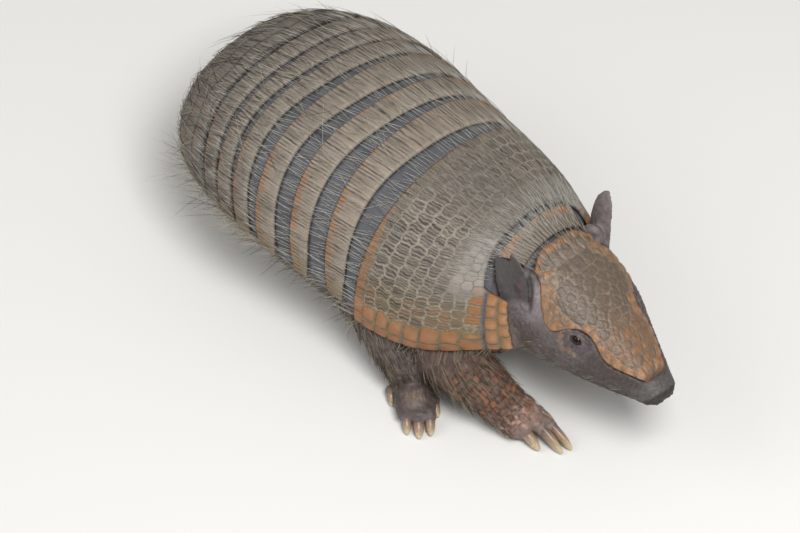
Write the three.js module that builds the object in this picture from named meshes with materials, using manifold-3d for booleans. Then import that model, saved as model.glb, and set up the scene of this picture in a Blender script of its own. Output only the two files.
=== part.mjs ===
// Six-banded armadillo (Euphractus sexcinctus), an adult at life size, walking with its head lowered.
// Units are millimetres. +X runs toward the nose, +Y to the animal's left, +Z up, and the floor is z = 0.
//
// The armour and the trunk share one surface, hull(s, v): s runs along the back from the neck (0) to the
// tail (1), and v round the body in degrees, 0 at the midline of the back and 90 at the widest level.  The
// head has a surface of its own, skull(x, v), in a frame turned nose-down.  Plates are slices of those
// surfaces with a thickness; the soft body is the same surface set in below them.
import * as THREE from 'three';
import { mergeVertices } from 'three/addons/utils/BufferGeometryUtils.js';
import Module from 'manifold-3d';

const wasm = await Module();
wasm.setup();

// ---------------------------------------------------------------- driving dimensions
const ORIGIN = new THREE.Vector3(-103.4, 10.8, 0);   // middle of the footprint: the model's own zero point
const PLATE = 4;                                 // thickness of the armour on the back
const SHIELD = 3;                                // thickness of the head shield and the nape band
const CLEAR = 0.35;                              // gap kept where one piece meets another

// The back line and the rim line of the armour (x, z), with the half width between them.
const STATION = [0, 0.15, 0.35, 0.55, 0.75, 0.9, 1];
const BACK = [[-2, 141], [-44, 149], [-120, 152], [-190, 151], [-252, 143], [-290, 122], [-302, 94]];
const RIM = [[18, 84], [-50, 62], [-113, 66], [-169, 76], [-226, 80], [-276, 72], [-298, 60]];
const HALF_WIDTH = [52, 80, 93, 101, 95, 70, 28];
const SQUARENESS = 2.3;                          // 2 is an ellipse, more is boxier
const BELLY = 0.55;                              // depth below the rim, as a share of the height above it
const FLANK_TUCK = 9;                            // how far the flank is drawn in just below the rim
// Where the armour ends round the body: lowest over the shoulder, higher along the bands.
const RIM_ANGLE = [[-0.02, 90], [0.04, 94], [0.1, 99], [0.2, 98], [0.27, 95], [0.305, 89], [0.6, 88], [1, 90]];

// Edges across the back, as s at v = -88, -30, 20 and 88.  They bow backward and draw together toward the
// left, because the body bends a little that way.
const ACROSS = [-88, -30, 20, 88];
const SCAPULAR_END = [0.276, 0.277, 0.271, 0.25];
const BANDS = [
  [[0.304, 0.321, 0.302, 0.275], [0.35, 0.378, 0.37, 0.34]],
  [[0.4, 0.417, 0.392, 0.357], [0.441, 0.47, 0.446, 0.42]],
  [[0.492, 0.508, 0.472, 0.44], [0.549, 0.558, 0.535, 0.505]],
  [[0.577, 0.592, 0.555, 0.522], [0.62, 0.631, 0.6, 0.572]],
  [[0.632, 0.65, 0.615, 0.585], [0.68, 0.682, 0.66, 0.635]],
  [[0.69, 0.7, 0.675, 0.648], [0.73, 0.742, 0.722, 0.698]],
];
const PELVIC_START = [0.74, 0.757, 0.737, 0.711];
const NUCHAL = [-0.018, 0.045];
const NUCHAL_SIDES = [-28, 36];                  // its two ends round the neck, as the head turns right

// Head: stations along the skull with its top, underside and half width.
const HEAD_AT = new THREE.Vector3(16, 2, 137);
const HEAD_TURN = { yaw: -5, pitch: 23, roll: 0 };
const SKULL_X = [-16, 0, 15, 38, 62, 86, 108, 114, 118];
const SKULL_TOP = [1, 1, 2, 1, -2, -5, -8, -9.5, -12.5];
const SKULL_LOW = [-88, -87, -83, -73, -62, -48, -32.5, -29, -24.5];
const SKULL_HALF = [39, 39.5, 39, 35.5, 29, 20.5, 13.4, 11.6, 7];
const SKULL_CHEEK = [0, 0, 1.5, 4.5, 4.5, 3.5, 1.2, 0.5, 0];   // swelling of the cheek below the shield
const CHEEK_LEVEL = 0.4;                         // widest level, as a share of the depth from the top
const NECK_X = 6;                                // where the neck meets the head, at the nape
const THROAT_SLANT = 17;                         // how much further forward it meets it at the throat
// Outline of the head shield: its half angle at each x, with the flange behind the eye and the notch above it.
const SHIELD_EDGE = [[-14, 33], [4, 37], [11, 42], [18, 54], [26, 66], [33, 74], [39, 71], [45, 53], [51, 43],
  [59, 42], [66, 48], [72, 57], [80, 61], [88, 57], [94, 48], [100, 37], [104, 27]];
const SHIELD_REAR = [[0, -9], [20, -8], [40, 0]];
const SHIELD_FRONT = 103;

const EYE = { x: 53, y: 25.4, z: -14.5, r: 4.5 };
const EAR = { x: 5, y: 36, z: -25, length: 50, half: 11.8, wall: 2.2 };
const EAR_FACING = { left: 78, right: 66 };      // degrees outward from straight ahead
const EAR_LEAN = { left: [-1.5, 11, 42], right: [-11, -4.5, 42] };

const TAIL = [[-280, 0, 74, 19], [-297, 0, 62, 17], [-309, 3, 46, 14.5], [-313, 12, 31, 12.6],
  [-309, 30, 19.5, 11],
  [-299, 54, 13.5, 9.5], [-287, 80, 10.5, 8], [-272, 104, 8.6, 6.4], [-256, 124, 7, 4.4]];

// Legs: stations of x, y, z, half width, half depth on the right side; the left front leg is a mirror image.
const FRONT_LEG = [[-50, -42, 86, 18, 34], [-41, -52, 60, 22, 35], [-27, -58, 45, 21, 30],
  [-10, -57, 36, 19, 21],
  [5, -54, 28, 17, 16], [17, -50, 18, 16, 12], [27, -46, 11, 15.5, 12.5], [35, -43, 8.5, 12, 9]];
const FRONT_HEART = [18, -48, 12];
const LEFT_FRONT_STEP = -30;
// Claws, inner to outer: x, y, z of the root, x, y, z of the point, half width, half depth.
const FRONT_CLAWS = [
  [[27, -32, 9], [40, -28, 1], 2.5, 2.9], [[41, -37, 11], [64, -37, 1], 3.2, 3.8],
  [[38.5, -43.5, 11.5], [61.4, -44, 1], 3.3, 4], [[26, -51.6, 11.5], [48.5, -52.6, 1], 3.9, 4],
  [[11.4, -58.8, 9.5], [25.5, -58.8, 1], 3.1, 3.4]];
const HIND_LEG = [[-146, -50, 92, 26, 32], [-118, -57, 70, 26, 28], [-92, -66, 50, 20, 21],
  [-70, -71, 34, 17, 17.5],
  [-56, -71, 21, 17, 15.5], [-56, -69, 10, 14, 10]];
const LEFT_HIND_LEG = [[-206, 50, 94, 26, 34], [-214, 57, 72, 26, 30], [-228, 65, 52, 21, 23],
  [-240, 70, 35, 17.5, 18], [-241, 71, 21, 17, 15.5], [-242, 69, 10, 14, 10]];
const HIND_SOLE = [[-72, -52, 9, 8, 8], [-63, -61, 9.5, 11.5, 11], [-49, -74, 9.5, 13, 11.5],
  [-37, -85, 9, 14.5, 11],
  [-28, -93, 8, 13, 8.5]];
const HIND_HEART = [-46, -77, 9];
const LEFT_HIND_STEP = -186;
const HIND_CLAWS = [
  [[-31, -73, 6.5], [-21, -79, 1], 2.8, 2.5], [[-22.5, -86, 8], [-13.4, -94.1, 1], 3.3, 2.9],
  [[-26.5, -93, 8], [-17.3, -101.4, 1], 3.5, 3], [[-34.5, -96.4, 7.5], [-25.7, -104.5, 1], 3.2, 2.8],
  [[-59, -86.5, 6.5], [-50.8, -94, 1], 2.6, 2.4]];

// ---------------------------------------------------------------- curves and surfaces
const V = (x, y, z) => new THREE.Vector3(x, y, z);
const rad = THREE.MathUtils.degToRad;
const mix = THREE.MathUtils.lerp;
const ease = (t) => THREE.MathUtils.smoothstep(t, 0, 1);

// A smooth curve through rows of numbers, straight beyond its two ends.
function through(ts, rows) {
  const list = rows.map((r) => (Array.isArray(r) ? r : [r]));
  const last = ts.length - 1;
  const slope = list.map((_, i) => {
    const a = Math.max(i - 1, 0);
    const b = Math.min(i + 1, last);
    return list[a].map((v, k) => (list[b][k] - v) / (ts[b] - ts[a]));
  });
  return (t) => {
    if (t <= ts[0]) return list[0].map((v, k) => v + slope[0][k] * (t - ts[0]));
    if (t >= ts[last]) return list[last].map((v, k) => v + slope[last][k] * (t - ts[last]));
    const i = ts.findIndex((v, k) => t < ts[k + 1]);
    const h = ts[i + 1] - ts[i];
    const u = (t - ts[i]) / h;
    return list[i].map((v, k) => (2 * u ** 3 - 3 * u ** 2 + 1) * v + (u ** 3 - 2 * u ** 2 + u) * h * slope[i][k]
      + (3 * u ** 2 - 2 * u ** 3) * list[i + 1][k] + (u ** 3 - u ** 2) * h * slope[i + 1][k]);
  };
}
const pairs = (table) => {
  const f = through(table.map((p) => p[0]), table.map((p) => p[1]));
  const [lo, hi] = [table[0][0], table[table.length - 1][0]];
  return (t) => f(THREE.MathUtils.clamp(t, lo, hi))[0];
};

const back = through(STATION, BACK);
const rim = through(STATION, RIM);
const halfWidth = through(STATION, HALF_WIDTH);
const rimAngle = pairs(RIM_ANGLE);
const skullTop = through(SKULL_X, SKULL_TOP);
const skullLow = through(SKULL_X, SKULL_LOW);
const skullHalf = through(SKULL_X, SKULL_HALF);
const skullCheek = through(SKULL_X, SKULL_CHEEK);
const shieldEdge = pairs(SHIELD_EDGE);
const shieldRear = pairs(SHIELD_REAR);
const bulge = (c, n) => Math.sign(c) * Math.abs(c) ** (2 / n);

function hullPoint(s, v) {
  const up = bulge(Math.cos(rad(v)), SQUARENESS);
  const share = up >= 0 ? up : BELLY * up;
  const [tx, tz] = back(s);
  const [rx, rz] = rim(s);
  const sideways = halfWidth(s)[0] * bulge(Math.sin(rad(v)), SQUARENESS);
  return V(rx + (tx - rx) * share, sideways, rz + (tz - rz) * share);
}

function skullPoint(x, v) {
  const c = Math.cos(rad(v));
  const n = c >= 0 ? 2.5 : 2.8;
  const top = skullTop(x)[0];
  const low = skullLow(x)[0];
  const level = top + (low - top) * CHEEK_LEVEL;
  const z = level + bulge(c, n) * (c >= 0 ? top - level : level - low);
  const sideways = bulge(Math.sin(rad(v)), n);
  const cheek = skullCheek(x)[0] * ease((Math.abs(v > 180 ? v - 360 : v) - 52) / 45);
  return V(x, (skullHalf(x)[0] + cheek) * sideways, z);
}

// A surface moved in or out along its own normal.
function offsetFrom(point, du, outward) {
  return (u, v, off) => {
    const p = point(u, v);
    if (!off) return p;
    const along = point(u + du, v).sub(point(u - du, v));
    const round = point(u, v + 1).sub(point(u, v - 1));
    return p.addScaledVector(round.cross(along).normalize(), off * outward);
  };
}
const hull = offsetFrom(hullPoint, 0.004, 1);
const skull = offsetFrom(skullPoint, 1, -1);

// An edge across the back: s as a smooth function of v.
function edge(row) {
  const f = through(ACROSS, row);
  return (v) => f(THREE.MathUtils.clamp(v, -88, 88))[0];
}

// ---------------------------------------------------------------- solids
function solid(positions, faces) {
  const p = (i) => V(positions[3 * i], positions[3 * i + 1], positions[3 * i + 2]);
  let volume = 0;
  for (const [a, b, c] of faces) volume += p(a).dot(p(b).cross(p(c)));
  const g = new THREE.BufferGeometry();
  g.setAttribute('position', new THREE.Float32BufferAttribute(positions, 3));
  g.setIndex(faces.flatMap(([a, b, c]) => (volume > 0 ? [a, b, c] : [a, c, b])));
  return g;
}

// Closed skin over a row of rings that all have the same number of points.
function loft(rings) {
  const n = rings[0].length;
  const positions = rings.flat().flatMap((q) => [q.x, q.y, q.z]);
  const faces = [];
  for (let i = 0; i + 1 < rings.length; i++) {
    for (let j = 0; j < n; j++) {
      const k = (j + 1) % n;
      const [a, b, c, d] = [i * n + j, i * n + k, (i + 1) * n + k, (i + 1) * n + j];
      faces.push([a, b, c], [a, c, d]);
    }
  }
  for (const [at, flip] of [[0, true], [rings.length - 1, false]]) {
    const mid = rings[at].reduce((sum, q) => sum.add(q), V(0, 0, 0)).divideScalar(n);
    const hub = positions.length / 3;
    positions.push(mid.x, mid.y, mid.z);
    for (let j = 0; j < n; j++) {
      const [a, b] = [at * n + j, at * n + ((j + 1) % n)];
      faces.push(flip ? [hub, b, a] : [hub, a, b]);
    }
  }
  return solid(positions, faces);
}

// A curved slab: a grid of points outside, the same grid set in by the thickness, and the edges closed.
function slab(rows, cols, thickness, at) {
  const layer = (off) => {
    const out = [];
    for (let i = 0; i <= rows; i++) for (let j = 0; j <= cols; j++) out.push(at(i / rows, j / cols, off));
    return out;
  };
  const pts = [...layer(0), ...layer(-thickness)];
  const w = cols + 1;
  const half = (rows + 1) * w;
  const faces = [];
  for (let i = 0; i < rows; i++) {
    for (let j = 0; j < cols; j++) {
      const [a, b, c, d] = [i * w + j, i * w + j + 1, (i + 1) * w + j + 1, (i + 1) * w + j];
      faces.push([a, b, c], [a, c, d], [half + a, half + c, half + b], [half + a, half + d, half + c]);
    }
  }
  const around = [];
  for (let j = 0; j < cols; j++) around.push(j);
  for (let i = 0; i < rows; i++) around.push(i * w + cols);
  for (let j = cols; j > 0; j--) around.push(rows * w + j);
  for (let i = rows; i > 0; i--) around.push(i * w);
  around.forEach((a, k) => {
    const b = around[(k + 1) % around.length];
    faces.push([a, half + b, b], [a, half + a, half + b]);
  });
  return solid(pts.flatMap((q) => [q.x, q.y, q.z]), faces);
}

// A limb, toe, claw or tail: ellipses threaded on a smooth path, each square to it.
function threaded(stations, count, sides) {
  const path = new THREE.CatmullRomCurve3(stations.map(([x, y, z]) => V(x, y, z)), false, 'centripetal');
  const last = stations.length - 1;
  const size = through(stations.map((_, i) => i / last), stations.map(([, , , a, b]) => [a, b ?? a]));
  const rings = [];
  for (let i = 0; i <= count; i++) {
    const t = i / count;
    const p = path.getPoint(t);
    const along = path.getTangent(t);
    const side = V(0, 1, 0).addScaledVector(along, -along.y).normalize();
    const up = side.clone().cross(along);
    const [a, b] = size(t);
    rings.push(Array.from({ length: sides }, (_, j) => {
      const w = (2 * Math.PI * (j + 0.5)) / sides;
      return p.clone().addScaledVector(side, a * Math.cos(w)).addScaledVector(up, b * Math.sin(w));
    }));
  }
  return loft(rings);
}

// ---------------------------------------------------------------- joining and cutting
function merged(geometry) {
  const g = geometry.clone();
  g.deleteAttribute('normal');
  g.deleteAttribute('uv');
  return mergeVertices(g, 1e-4);
}

function toSolid(geometry) {
  const m = merged(geometry);
  return new wasm.Manifold(new wasm.Mesh({
    numProp: 3,
    vertProperties: new Float32Array(m.attributes.position.array),
    triVerts: new Uint32Array(m.index.array),
  }));
}

function fromSolid(s) {
  const mesh = s.getMesh();
  const g = new THREE.BufferGeometry();
  g.setAttribute('position', new THREE.BufferAttribute(new Float32Array(mesh.vertProperties), 3));
  g.setIndex(Array.from(mesh.triVerts));
  return g;
}

// The same shape swollen outward, so that a cut made with it leaves a gap.
function swollen(geometry, by) {
  const m = merged(geometry);
  m.computeVertexNormals();
  const p = m.attributes.position;
  const n = m.attributes.normal;
  for (let i = 0; i < p.count; i++) {
    p.setXYZ(i, p.getX(i) + n.getX(i) * by, p.getY(i) + n.getY(i) * by, p.getZ(i) + n.getZ(i) * by);
  }
  return m;
}

const joined = (...parts) => fromSolid(parts.map(toSolid).reduce((a, b) => a.add(b)));
// A cut can leave crumbs behind: only the main body is kept.
function cutBy(part, ...tools) {
  const cut = tools.reduce((a, t) => a.subtract(toSolid(swollen(t, CLEAR))), toSolid(part));
  return fromSolid(cut.decompose().reduce((a, b) => (b.volume() > a.volume() ? b : a)));
}

// Everything below the floor is trimmed off, which leaves the soles flat.
function trimmedAtFloor(part) {
  const below = new THREE.BoxGeometry(900, 600, 60);
  below.translate(-100, 0, -30);
  return fromSolid(toSolid(part).subtract(toSolid(below)));
}

// ---------------------------------------------------------------- trunk and neck
const TOP_STEPS = 14;
const LOW_STEPS = 6;
const topShares = Array.from({ length: TOP_STEPS + 1 }, (_, i) => mix(-1, 1, i / TOP_STEPS));
const lowShares = Array.from({ length: LOW_STEPS + 1 }, (_, i) => i / LOW_STEPS);

// One ring of the soft body along an edge across the back: set in under the armour, full size below the
// rim.  With lean, its lower half lies further back than its upper half.
function bodyRing(line, inset, lean = 0) {
  const at = (v, off) => {
    const w = v > 180 ? v - 360 : v;
    return hull(line(w) + lean * ease((Math.abs(w) - 70) / 80), v, off);
  };
  const limit = rimAngle(line(-88));
  const tuck = (v) => mix(FLANK_TUCK, 0.5, ease((Math.min(v, 360 - v) - limit - 6) / 50));
  return [...topShares.map((k) => at(k * limit, -inset)),
    ...lowShares.map((k) => mix(limit + 6, 354 - limit, k)).map((v) => at(v, -tuck(v)))];
}

const under = PLATE + 0.6;
const skinLevel = 2.4;                           // how far the bare skin between the bands lies below them
const level = (s) => () => s;
const shifted = (line, by) => (v) => line(v) + by;
const halfway = (a, b) => (v) => (a(v) + b(v)) / 2;
const fronts = [...BANDS.map(([f]) => edge(f)), edge(PELVIC_START)];
const rears = [edge(SCAPULAR_END), ...BANDS.map(([, r]) => edge(r))];
const bodyRings = [bodyRing(level(0.03), under, 0.05), bodyRing(level(0.06), under, 0.045),
  bodyRing(level(0.1), under, 0.03), bodyRing(level(0.18), under)];
fronts.forEach((front, i) => {
  const rear = rears[i];
  if (i < 4) {
    bodyRings.push(bodyRing(rear, under), bodyRing(shifted(rear, 0.005), skinLevel),
      bodyRing(shifted(front, -0.005), skinLevel), bodyRing(front, under));
  } else {
    bodyRings.push(bodyRing(halfway(rear, front), under));
  }
});
const rump = [0.8, 0.85, 0.9, 0.94, 0.975, 1];
for (const s of rump) bodyRings.push(bodyRing(level(s), under));
const trunk = loft(bodyRings);
// The armoured outline filled in, a little short of the belly skin: the limbs stay clear of this too.
const bodyRound = Array.from({ length: 24 }, (_, i) => (i * 360) / 24);
const wholeBody = loft([0.03, 0.07, 0.12, 0.2, 0.3, 0.4, 0.5, 0.6, 0.7, 0.8, 0.88, 0.94, 1].map(
  (s) => bodyRound.map((v) => {
    const low = Math.min(v, 360 - v);
    const limit = rimAngle(s);
    const tucked = low > limit + 3 ? mix(FLANK_TUCK + 3, 4, ease((low - limit - 6) / 50)) : -0.2;
    return hull(s + 0.05 * ease((low - 70) / 80) * ease((0.16 - s) / 0.1), v, -tucked);
  })));

const headTurn = new THREE.Matrix4().makeRotationFromEuler(
  new THREE.Euler(rad(HEAD_TURN.roll), rad(HEAD_TURN.pitch), rad(HEAD_TURN.yaw), 'ZYX'));
headTurn.setPosition(HEAD_AT);

// One ring of the soft head, with as many points as a ring of the body.  inset(v) is its depth at the top.
function headRing(x, inset = () => 0.4) {
  const at = (v, off) => {
    const low = Math.min(Math.abs(v), 360 - v);
    const slant = THROAT_SLANT * ease((low - 55) / 90) * Math.max(0, 1 - (x - NECK_X) / 60);
    return skull(x + slant, v, off);
  };
  return [...topShares.map((k) => at(k * 92, -inset(k * 92))),
    ...lowShares.map((k) => at(mix(104, 256, k), -0.4))];
}

const chest = bodyRing(level(0.03), under, 0.05).map((p) => p.add(V(CLEAR + 0.1, 0, 0)));
const underShield = (v) => mix(SHIELD + 0.8, 0.8, ease((Math.abs(v) - 42) / 14));
const nape = headRing(NECK_X + 1.5, underShield).map((p) => p.applyMatrix4(headTurn));
const neck = loft([0, 0.25, 0.5, 0.75, 1].map((t) => chest.map((p, j) => {
  const q = p.clone().lerp(nape[j], t);
  q.y = mix(p.y, nape[j].y, 1 - (1 - t) ** 2.2);  // the neck narrows quickly behind the ears
  const arch = 4 * t * (1 - t);
  if (j <= TOP_STEPS) return q.add(V(0, 0, -1.8 * arch));
  return q.add(V(5, 0, -6).multiplyScalar(arch));
})));

// ---------------------------------------------------------------- armour
const around = (s, j) => mix(-1, 1, j) * rimAngle(s);
const scapularEnd = edge(SCAPULAR_END);
// The front edge of the shoulder shield, with a lobe of a few scutes reaching forward low on each side.
const scapularFront = (v) => {
  const low = Math.abs(v);
  return 0.064 - 0.022 * Math.min(low / 52, 1) ** 2 - 0.044 * ease((low - 52) / 8);
};
const scapular = slab(6, 20, PLATE, (i, j, off) => {
  const v = mix(-1, 1, j) * rimAngle(mix(0.0, 0.276, i));
  return hull(mix(scapularFront(v), scapularEnd(v), i), v, off);
});
const bands = BANDS.map(([a, b]) => {
  const [front, rear] = [edge(a), edge(b)];
  return slab(2, TOP_STEPS, PLATE, (i, j, off) => {
    const v = around(mix(a[0], b[0], i), j);
    return hull(mix(front(v), rear(v), i), v, off);
  });
});
const pelvicFront = edge(PELVIC_START);
const pelvic = slab(rump.length, TOP_STEPS, PLATE, (i, j, off) => {
  const row = Math.round(i * rump.length);
  const v = around(row ? rump[row - 1] : 0.74, j);
  return hull(row ? rump[row - 1] : pelvicFront(v), v, off);
});
const nuchal = slab(2, 10, SHIELD, (i, j, off) => {
  const v = mix(...NUCHAL_SIDES, j);
  return hull(mix(NUCHAL[0], NUCHAL[1] - 0.012 * (v / 50) ** 2, i), v, off);
});

// ---------------------------------------------------------------- head, in its own turned frame
const skullStations = [NECK_X, 18, 32, 46, 60, 74, 88, 101, 110, 116, 118];
const shieldSlab = (proud) => slab(12, 8, SHIELD + proud, (i, j, off) => {
  const k = mix(-1, 1, j);
  const x = mix(shieldRear(Math.abs(k) * 40), SHIELD_FRONT, i);
  return skull(x, k * shieldEdge(x), off + proud);
});
const headShield = shieldSlab(0);
const eyeball = (side) => {
  const g = new THREE.SphereGeometry(EYE.r, 10, 7);
  g.translate(EYE.x, side * EYE.y, EYE.z);
  return g;
};
const eyes = { left: eyeball(1), right: eyeball(-1) };
const intoHead = headTurn.clone().invert();
const head = cutBy(loft(skullStations.map((x) => headRing(x))), swollen(shieldSlab(3), 0.15),
  scapular.clone().applyMatrix4(intoHead), eyes.left, eyes.right);
const placedHead = head.clone().applyMatrix4(headTurn);
const placedShield = headShield.clone().applyMatrix4(headTurn);

// An ear is a cupped leaf, rolled at the root and open above, that leans back and faces forward and out.
const earHalf = through([0, 0.2, 0.5, 0.8, 0.93, 1], [7, 10.4, EAR.half, 9.2, 5.8, 2.2]);
const earCup = through([0, 0.4, 1], [82, 58, 38]);
function ear(name, side) {
  const root = V(EAR.x, side * EAR.y, EAR.z).applyMatrix4(headTurn);
  const up = V(...EAR_LEAN[name]).normalize();
  const face = V(Math.cos(rad(EAR_FACING[name])), side * Math.sin(rad(EAR_FACING[name])), 0);
  face.addScaledVector(up, -face.dot(up)).normalize();
  const across = up.clone().cross(face);
  return slab(7, 5, EAR.wall, (i, j, off) => {
    const cup = rad(earCup(i)[0]);
    const w = (2 * j - 1) * cup;
    const bend = earHalf(i)[0] / Math.sin(Math.min(cup, Math.PI / 2));
    const r = bend + off;
    return root.clone().addScaledVector(up, mix(-6, EAR.length - 6, i))
      .addScaledVector(across, r * Math.sin(w)).addScaledVector(face, bend * 0.8 - r * Math.cos(w));
  });
}

// ---------------------------------------------------------------- legs and claws
const towards = (a, b, t) => a.map((v, k) => mix(v, b[k], t));
const mirrored = (row, step) => [row[0] + step, -row[1], ...row.slice(2)];
const mirror = (rows, step) => rows.map((r) => mirrored(r, step));
const mirrorClaws = (claws, step) => claws.map(
  ([root, tip, wide, deep]) => [mirrored(root, step), mirrored(tip, step), wide, deep]);

function claw([root, tip, wide, deep]) {
  const rows = [-0.1, 0.1, 0.4, 0.72, 0.9, 1].map((t) => {
    const [x, y, z] = towards(root, tip, t);
    const thin = Math.sqrt(Math.max(1 - Math.max(t, 0) ** 2.6, 0.06));
    return [x, y, z + 4.5 * t * (1 - t), wide * thin, deep * thin];
  });
  return threaded(rows, 4, 6);
}

// A toe runs from the heart of the foot to a little past the root of its claw.
function toe([root, tip, wide, deep], heart) {
  const rows = [0, 0.6].map((t) => [...towards(heart, root, t), wide + 2.6 - t, deep + 2.2 - t]);
  rows.push([...towards(root, tip, 0.07), wide + 1.1, deep + 0.8]);
  return threaded(rows, 2, 6);
}

const limb = ({ parts, claws, heart }) => trimmedAtFloor(joined(...parts, ...claws.map((c) => toe(c, heart))));

const legs = {
  front_right: { parts: [threaded(FRONT_LEG, 8, 10)], claws: FRONT_CLAWS, heart: FRONT_HEART },
  front_left: {
    parts: [threaded(mirror(FRONT_LEG, LEFT_FRONT_STEP), 8, 10)],
    claws: mirrorClaws(FRONT_CLAWS, LEFT_FRONT_STEP),
    heart: mirrored(FRONT_HEART, LEFT_FRONT_STEP),
  },
  hind_right: {
    parts: [threaded(HIND_LEG, 5, 9), threaded(HIND_SOLE, 4, 9)],
    claws: HIND_CLAWS,
    heart: HIND_HEART,
  },
  hind_left: {
    parts: [threaded(LEFT_HIND_LEG, 6, 9), threaded(mirror(HIND_SOLE, LEFT_HIND_STEP), 4, 9)],
    claws: mirrorClaws(HIND_CLAWS, LEFT_HIND_STEP),
    heart: mirrored(HIND_HEART, LEFT_HIND_STEP),
  },
};

// The right hind leg has stepped up close behind the right front one, and gives way to it where they press.
const limbs = {};
for (const [name, leg] of Object.entries(legs)) {
  const pressed = name === 'hind_right' ? [limb(legs.front_right)] : [];
  limbs[name] = cutBy(limb(leg), wholeBody, trunk, neck, scapular, ...pressed, ...leg.claws.map(claw));
}

// ---------------------------------------------------------------- tail
const tail = cutBy(threaded(TAIL, 13, 10), trunk, pelvic);

// ---------------------------------------------------------------- the model
const look = (color, roughness) => new THREE.MeshStandardMaterial({ color, roughness, metalness: 0 });
const skinGrey = look('#5f5657', 0.8);
const skinBrown = look('#6e5247', 0.8);
const hornTan = look('#9c8d78', 0.6);
const hornOlive = look('#8c7858', 0.6);
const clawIvory = look('#b9a384', 0.45);
const eyeBlack = look('#17110e', 0.15);

const group = new THREE.Group();
group.position.copy(ORIGIN).negate();
function add(parent, name, geometry, material) {
  const mesh = new THREE.Mesh(geometry, material.clone());
  mesh.name = name;
  parent.add(mesh);
}

add(group, 'trunk', trunk, skinGrey);
add(group, 'neck', cutBy(neck, nuchal, scapular, placedShield, placedHead, limbs.front_right, limbs.front_left),
  skinGrey);
add(group, 'tail', tail, hornTan);
add(group, 'scapular_shield', scapular, hornTan);
bands.forEach((g, i) => add(group, `band_${i + 1}`, g, hornTan));
add(group, 'pelvic_shield', pelvic, hornTan);
add(group, 'nuchal_band', nuchal, hornTan);

const headGroup = new THREE.Group();
headGroup.applyMatrix4(headTurn);
group.add(headGroup);
add(headGroup, 'head', head, skinGrey);
add(headGroup, 'head_shield', headShield, hornOlive);
for (const [name, side] of [['left', 1], ['right', -1]]) {
  add(headGroup, `eye_${name}`, eyes[name], eyeBlack);
  const rooted = cutBy(ear(name, side), neck, placedHead, placedShield, nuchal, scapular);
  add(headGroup, `ear_${name}`, rooted.applyMatrix4(intoHead), skinGrey);
}

for (const [name, leg] of Object.entries(legs)) {
  add(group, `leg_${name}`, limbs[name], skinBrown);
  leg.claws.forEach((c, i) => add(group, `claw_${name}_${i + 1}`, claw(c), clawIvory));
}

export default group;
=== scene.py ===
# %% [markdown]
# # A six-banded armadillo at life size
# The animal is a walking dome of horn. A shoulder shield, six bands and a rump shield ride on soft skin, the
# head wears a shield of its own, and pale bristles grow out from under every plate. The solid model made in
# CAD gives each part its place. This lesson lays the fine surface over it: scutes with their grooves, one
# skin without seams, eyes with lids, claws and hair.
#
# The first cell loads the CAD model as the frame that everything else is fitted to, and keeps its box.

# %% Load the frame
import math

import bmesh
import bpy
import numpy as np
from mathutils import Matrix, Vector


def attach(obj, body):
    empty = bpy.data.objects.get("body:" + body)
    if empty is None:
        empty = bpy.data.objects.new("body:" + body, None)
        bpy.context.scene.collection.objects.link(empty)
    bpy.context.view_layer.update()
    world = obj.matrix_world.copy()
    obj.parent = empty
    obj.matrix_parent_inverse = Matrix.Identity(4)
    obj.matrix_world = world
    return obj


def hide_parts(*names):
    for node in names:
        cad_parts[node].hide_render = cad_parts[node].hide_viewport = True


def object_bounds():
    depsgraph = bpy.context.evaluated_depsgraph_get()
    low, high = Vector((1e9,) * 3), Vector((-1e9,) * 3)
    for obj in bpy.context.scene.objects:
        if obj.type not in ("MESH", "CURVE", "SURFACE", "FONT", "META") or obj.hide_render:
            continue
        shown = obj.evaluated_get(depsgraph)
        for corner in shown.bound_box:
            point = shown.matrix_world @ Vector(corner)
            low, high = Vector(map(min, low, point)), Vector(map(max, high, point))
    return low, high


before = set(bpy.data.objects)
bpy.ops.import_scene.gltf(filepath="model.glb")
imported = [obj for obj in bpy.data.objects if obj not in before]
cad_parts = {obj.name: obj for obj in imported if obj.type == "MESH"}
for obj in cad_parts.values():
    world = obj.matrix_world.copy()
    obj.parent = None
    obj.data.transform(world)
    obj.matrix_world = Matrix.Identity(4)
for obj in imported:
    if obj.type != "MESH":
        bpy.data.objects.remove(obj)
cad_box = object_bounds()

print("frame:", len(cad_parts), "nodes")

# %% [markdown]
# ## Small tools
# Every piece below is first worked out in millimetres in the animal's own axes: +X to the nose, +Y to its
# left, +Z up, with zero at the nape. `in_frame` moves such points to the frame, in metres.
#
# The curves through a few measured stations are Hermite splines, as a boatbuilder's batten would give. They
# run on straight past their ends. `ease` is a soft step from 0 to 1, and `hump` a soft ridge.

# %% Curves and steps
MM = 0.001
FLOOR_MIDDLE = np.array([-103.4, 10.8, 0.0])  # where the frame's zero lies in the animal's axes, in mm


def in_frame(points):
    return (np.asarray(points) - FLOOR_MIDDLE) * MM


def ease(t):
    t = np.clip(t, 0.0, 1.0)
    return t * t * (3 - 2 * t)


def hump(distance, width):
    """1 where the distance is 0, falling away on both sides over about the width."""
    return np.exp(-((distance / width) ** 2))


def mix(a, b, t):
    return a + (b - a) * t


def unit(v):
    """One vector, or each of many, at length 1."""
    v = np.asarray(v, float)
    return v / np.maximum(np.linalg.norm(v, axis=-1, keepdims=True), 1e-9)


def signed(v):
    """Degrees round the body as -180 to 180, with 0 on the midline of the back."""
    return np.where(v > 180, v - 360, v)


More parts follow.
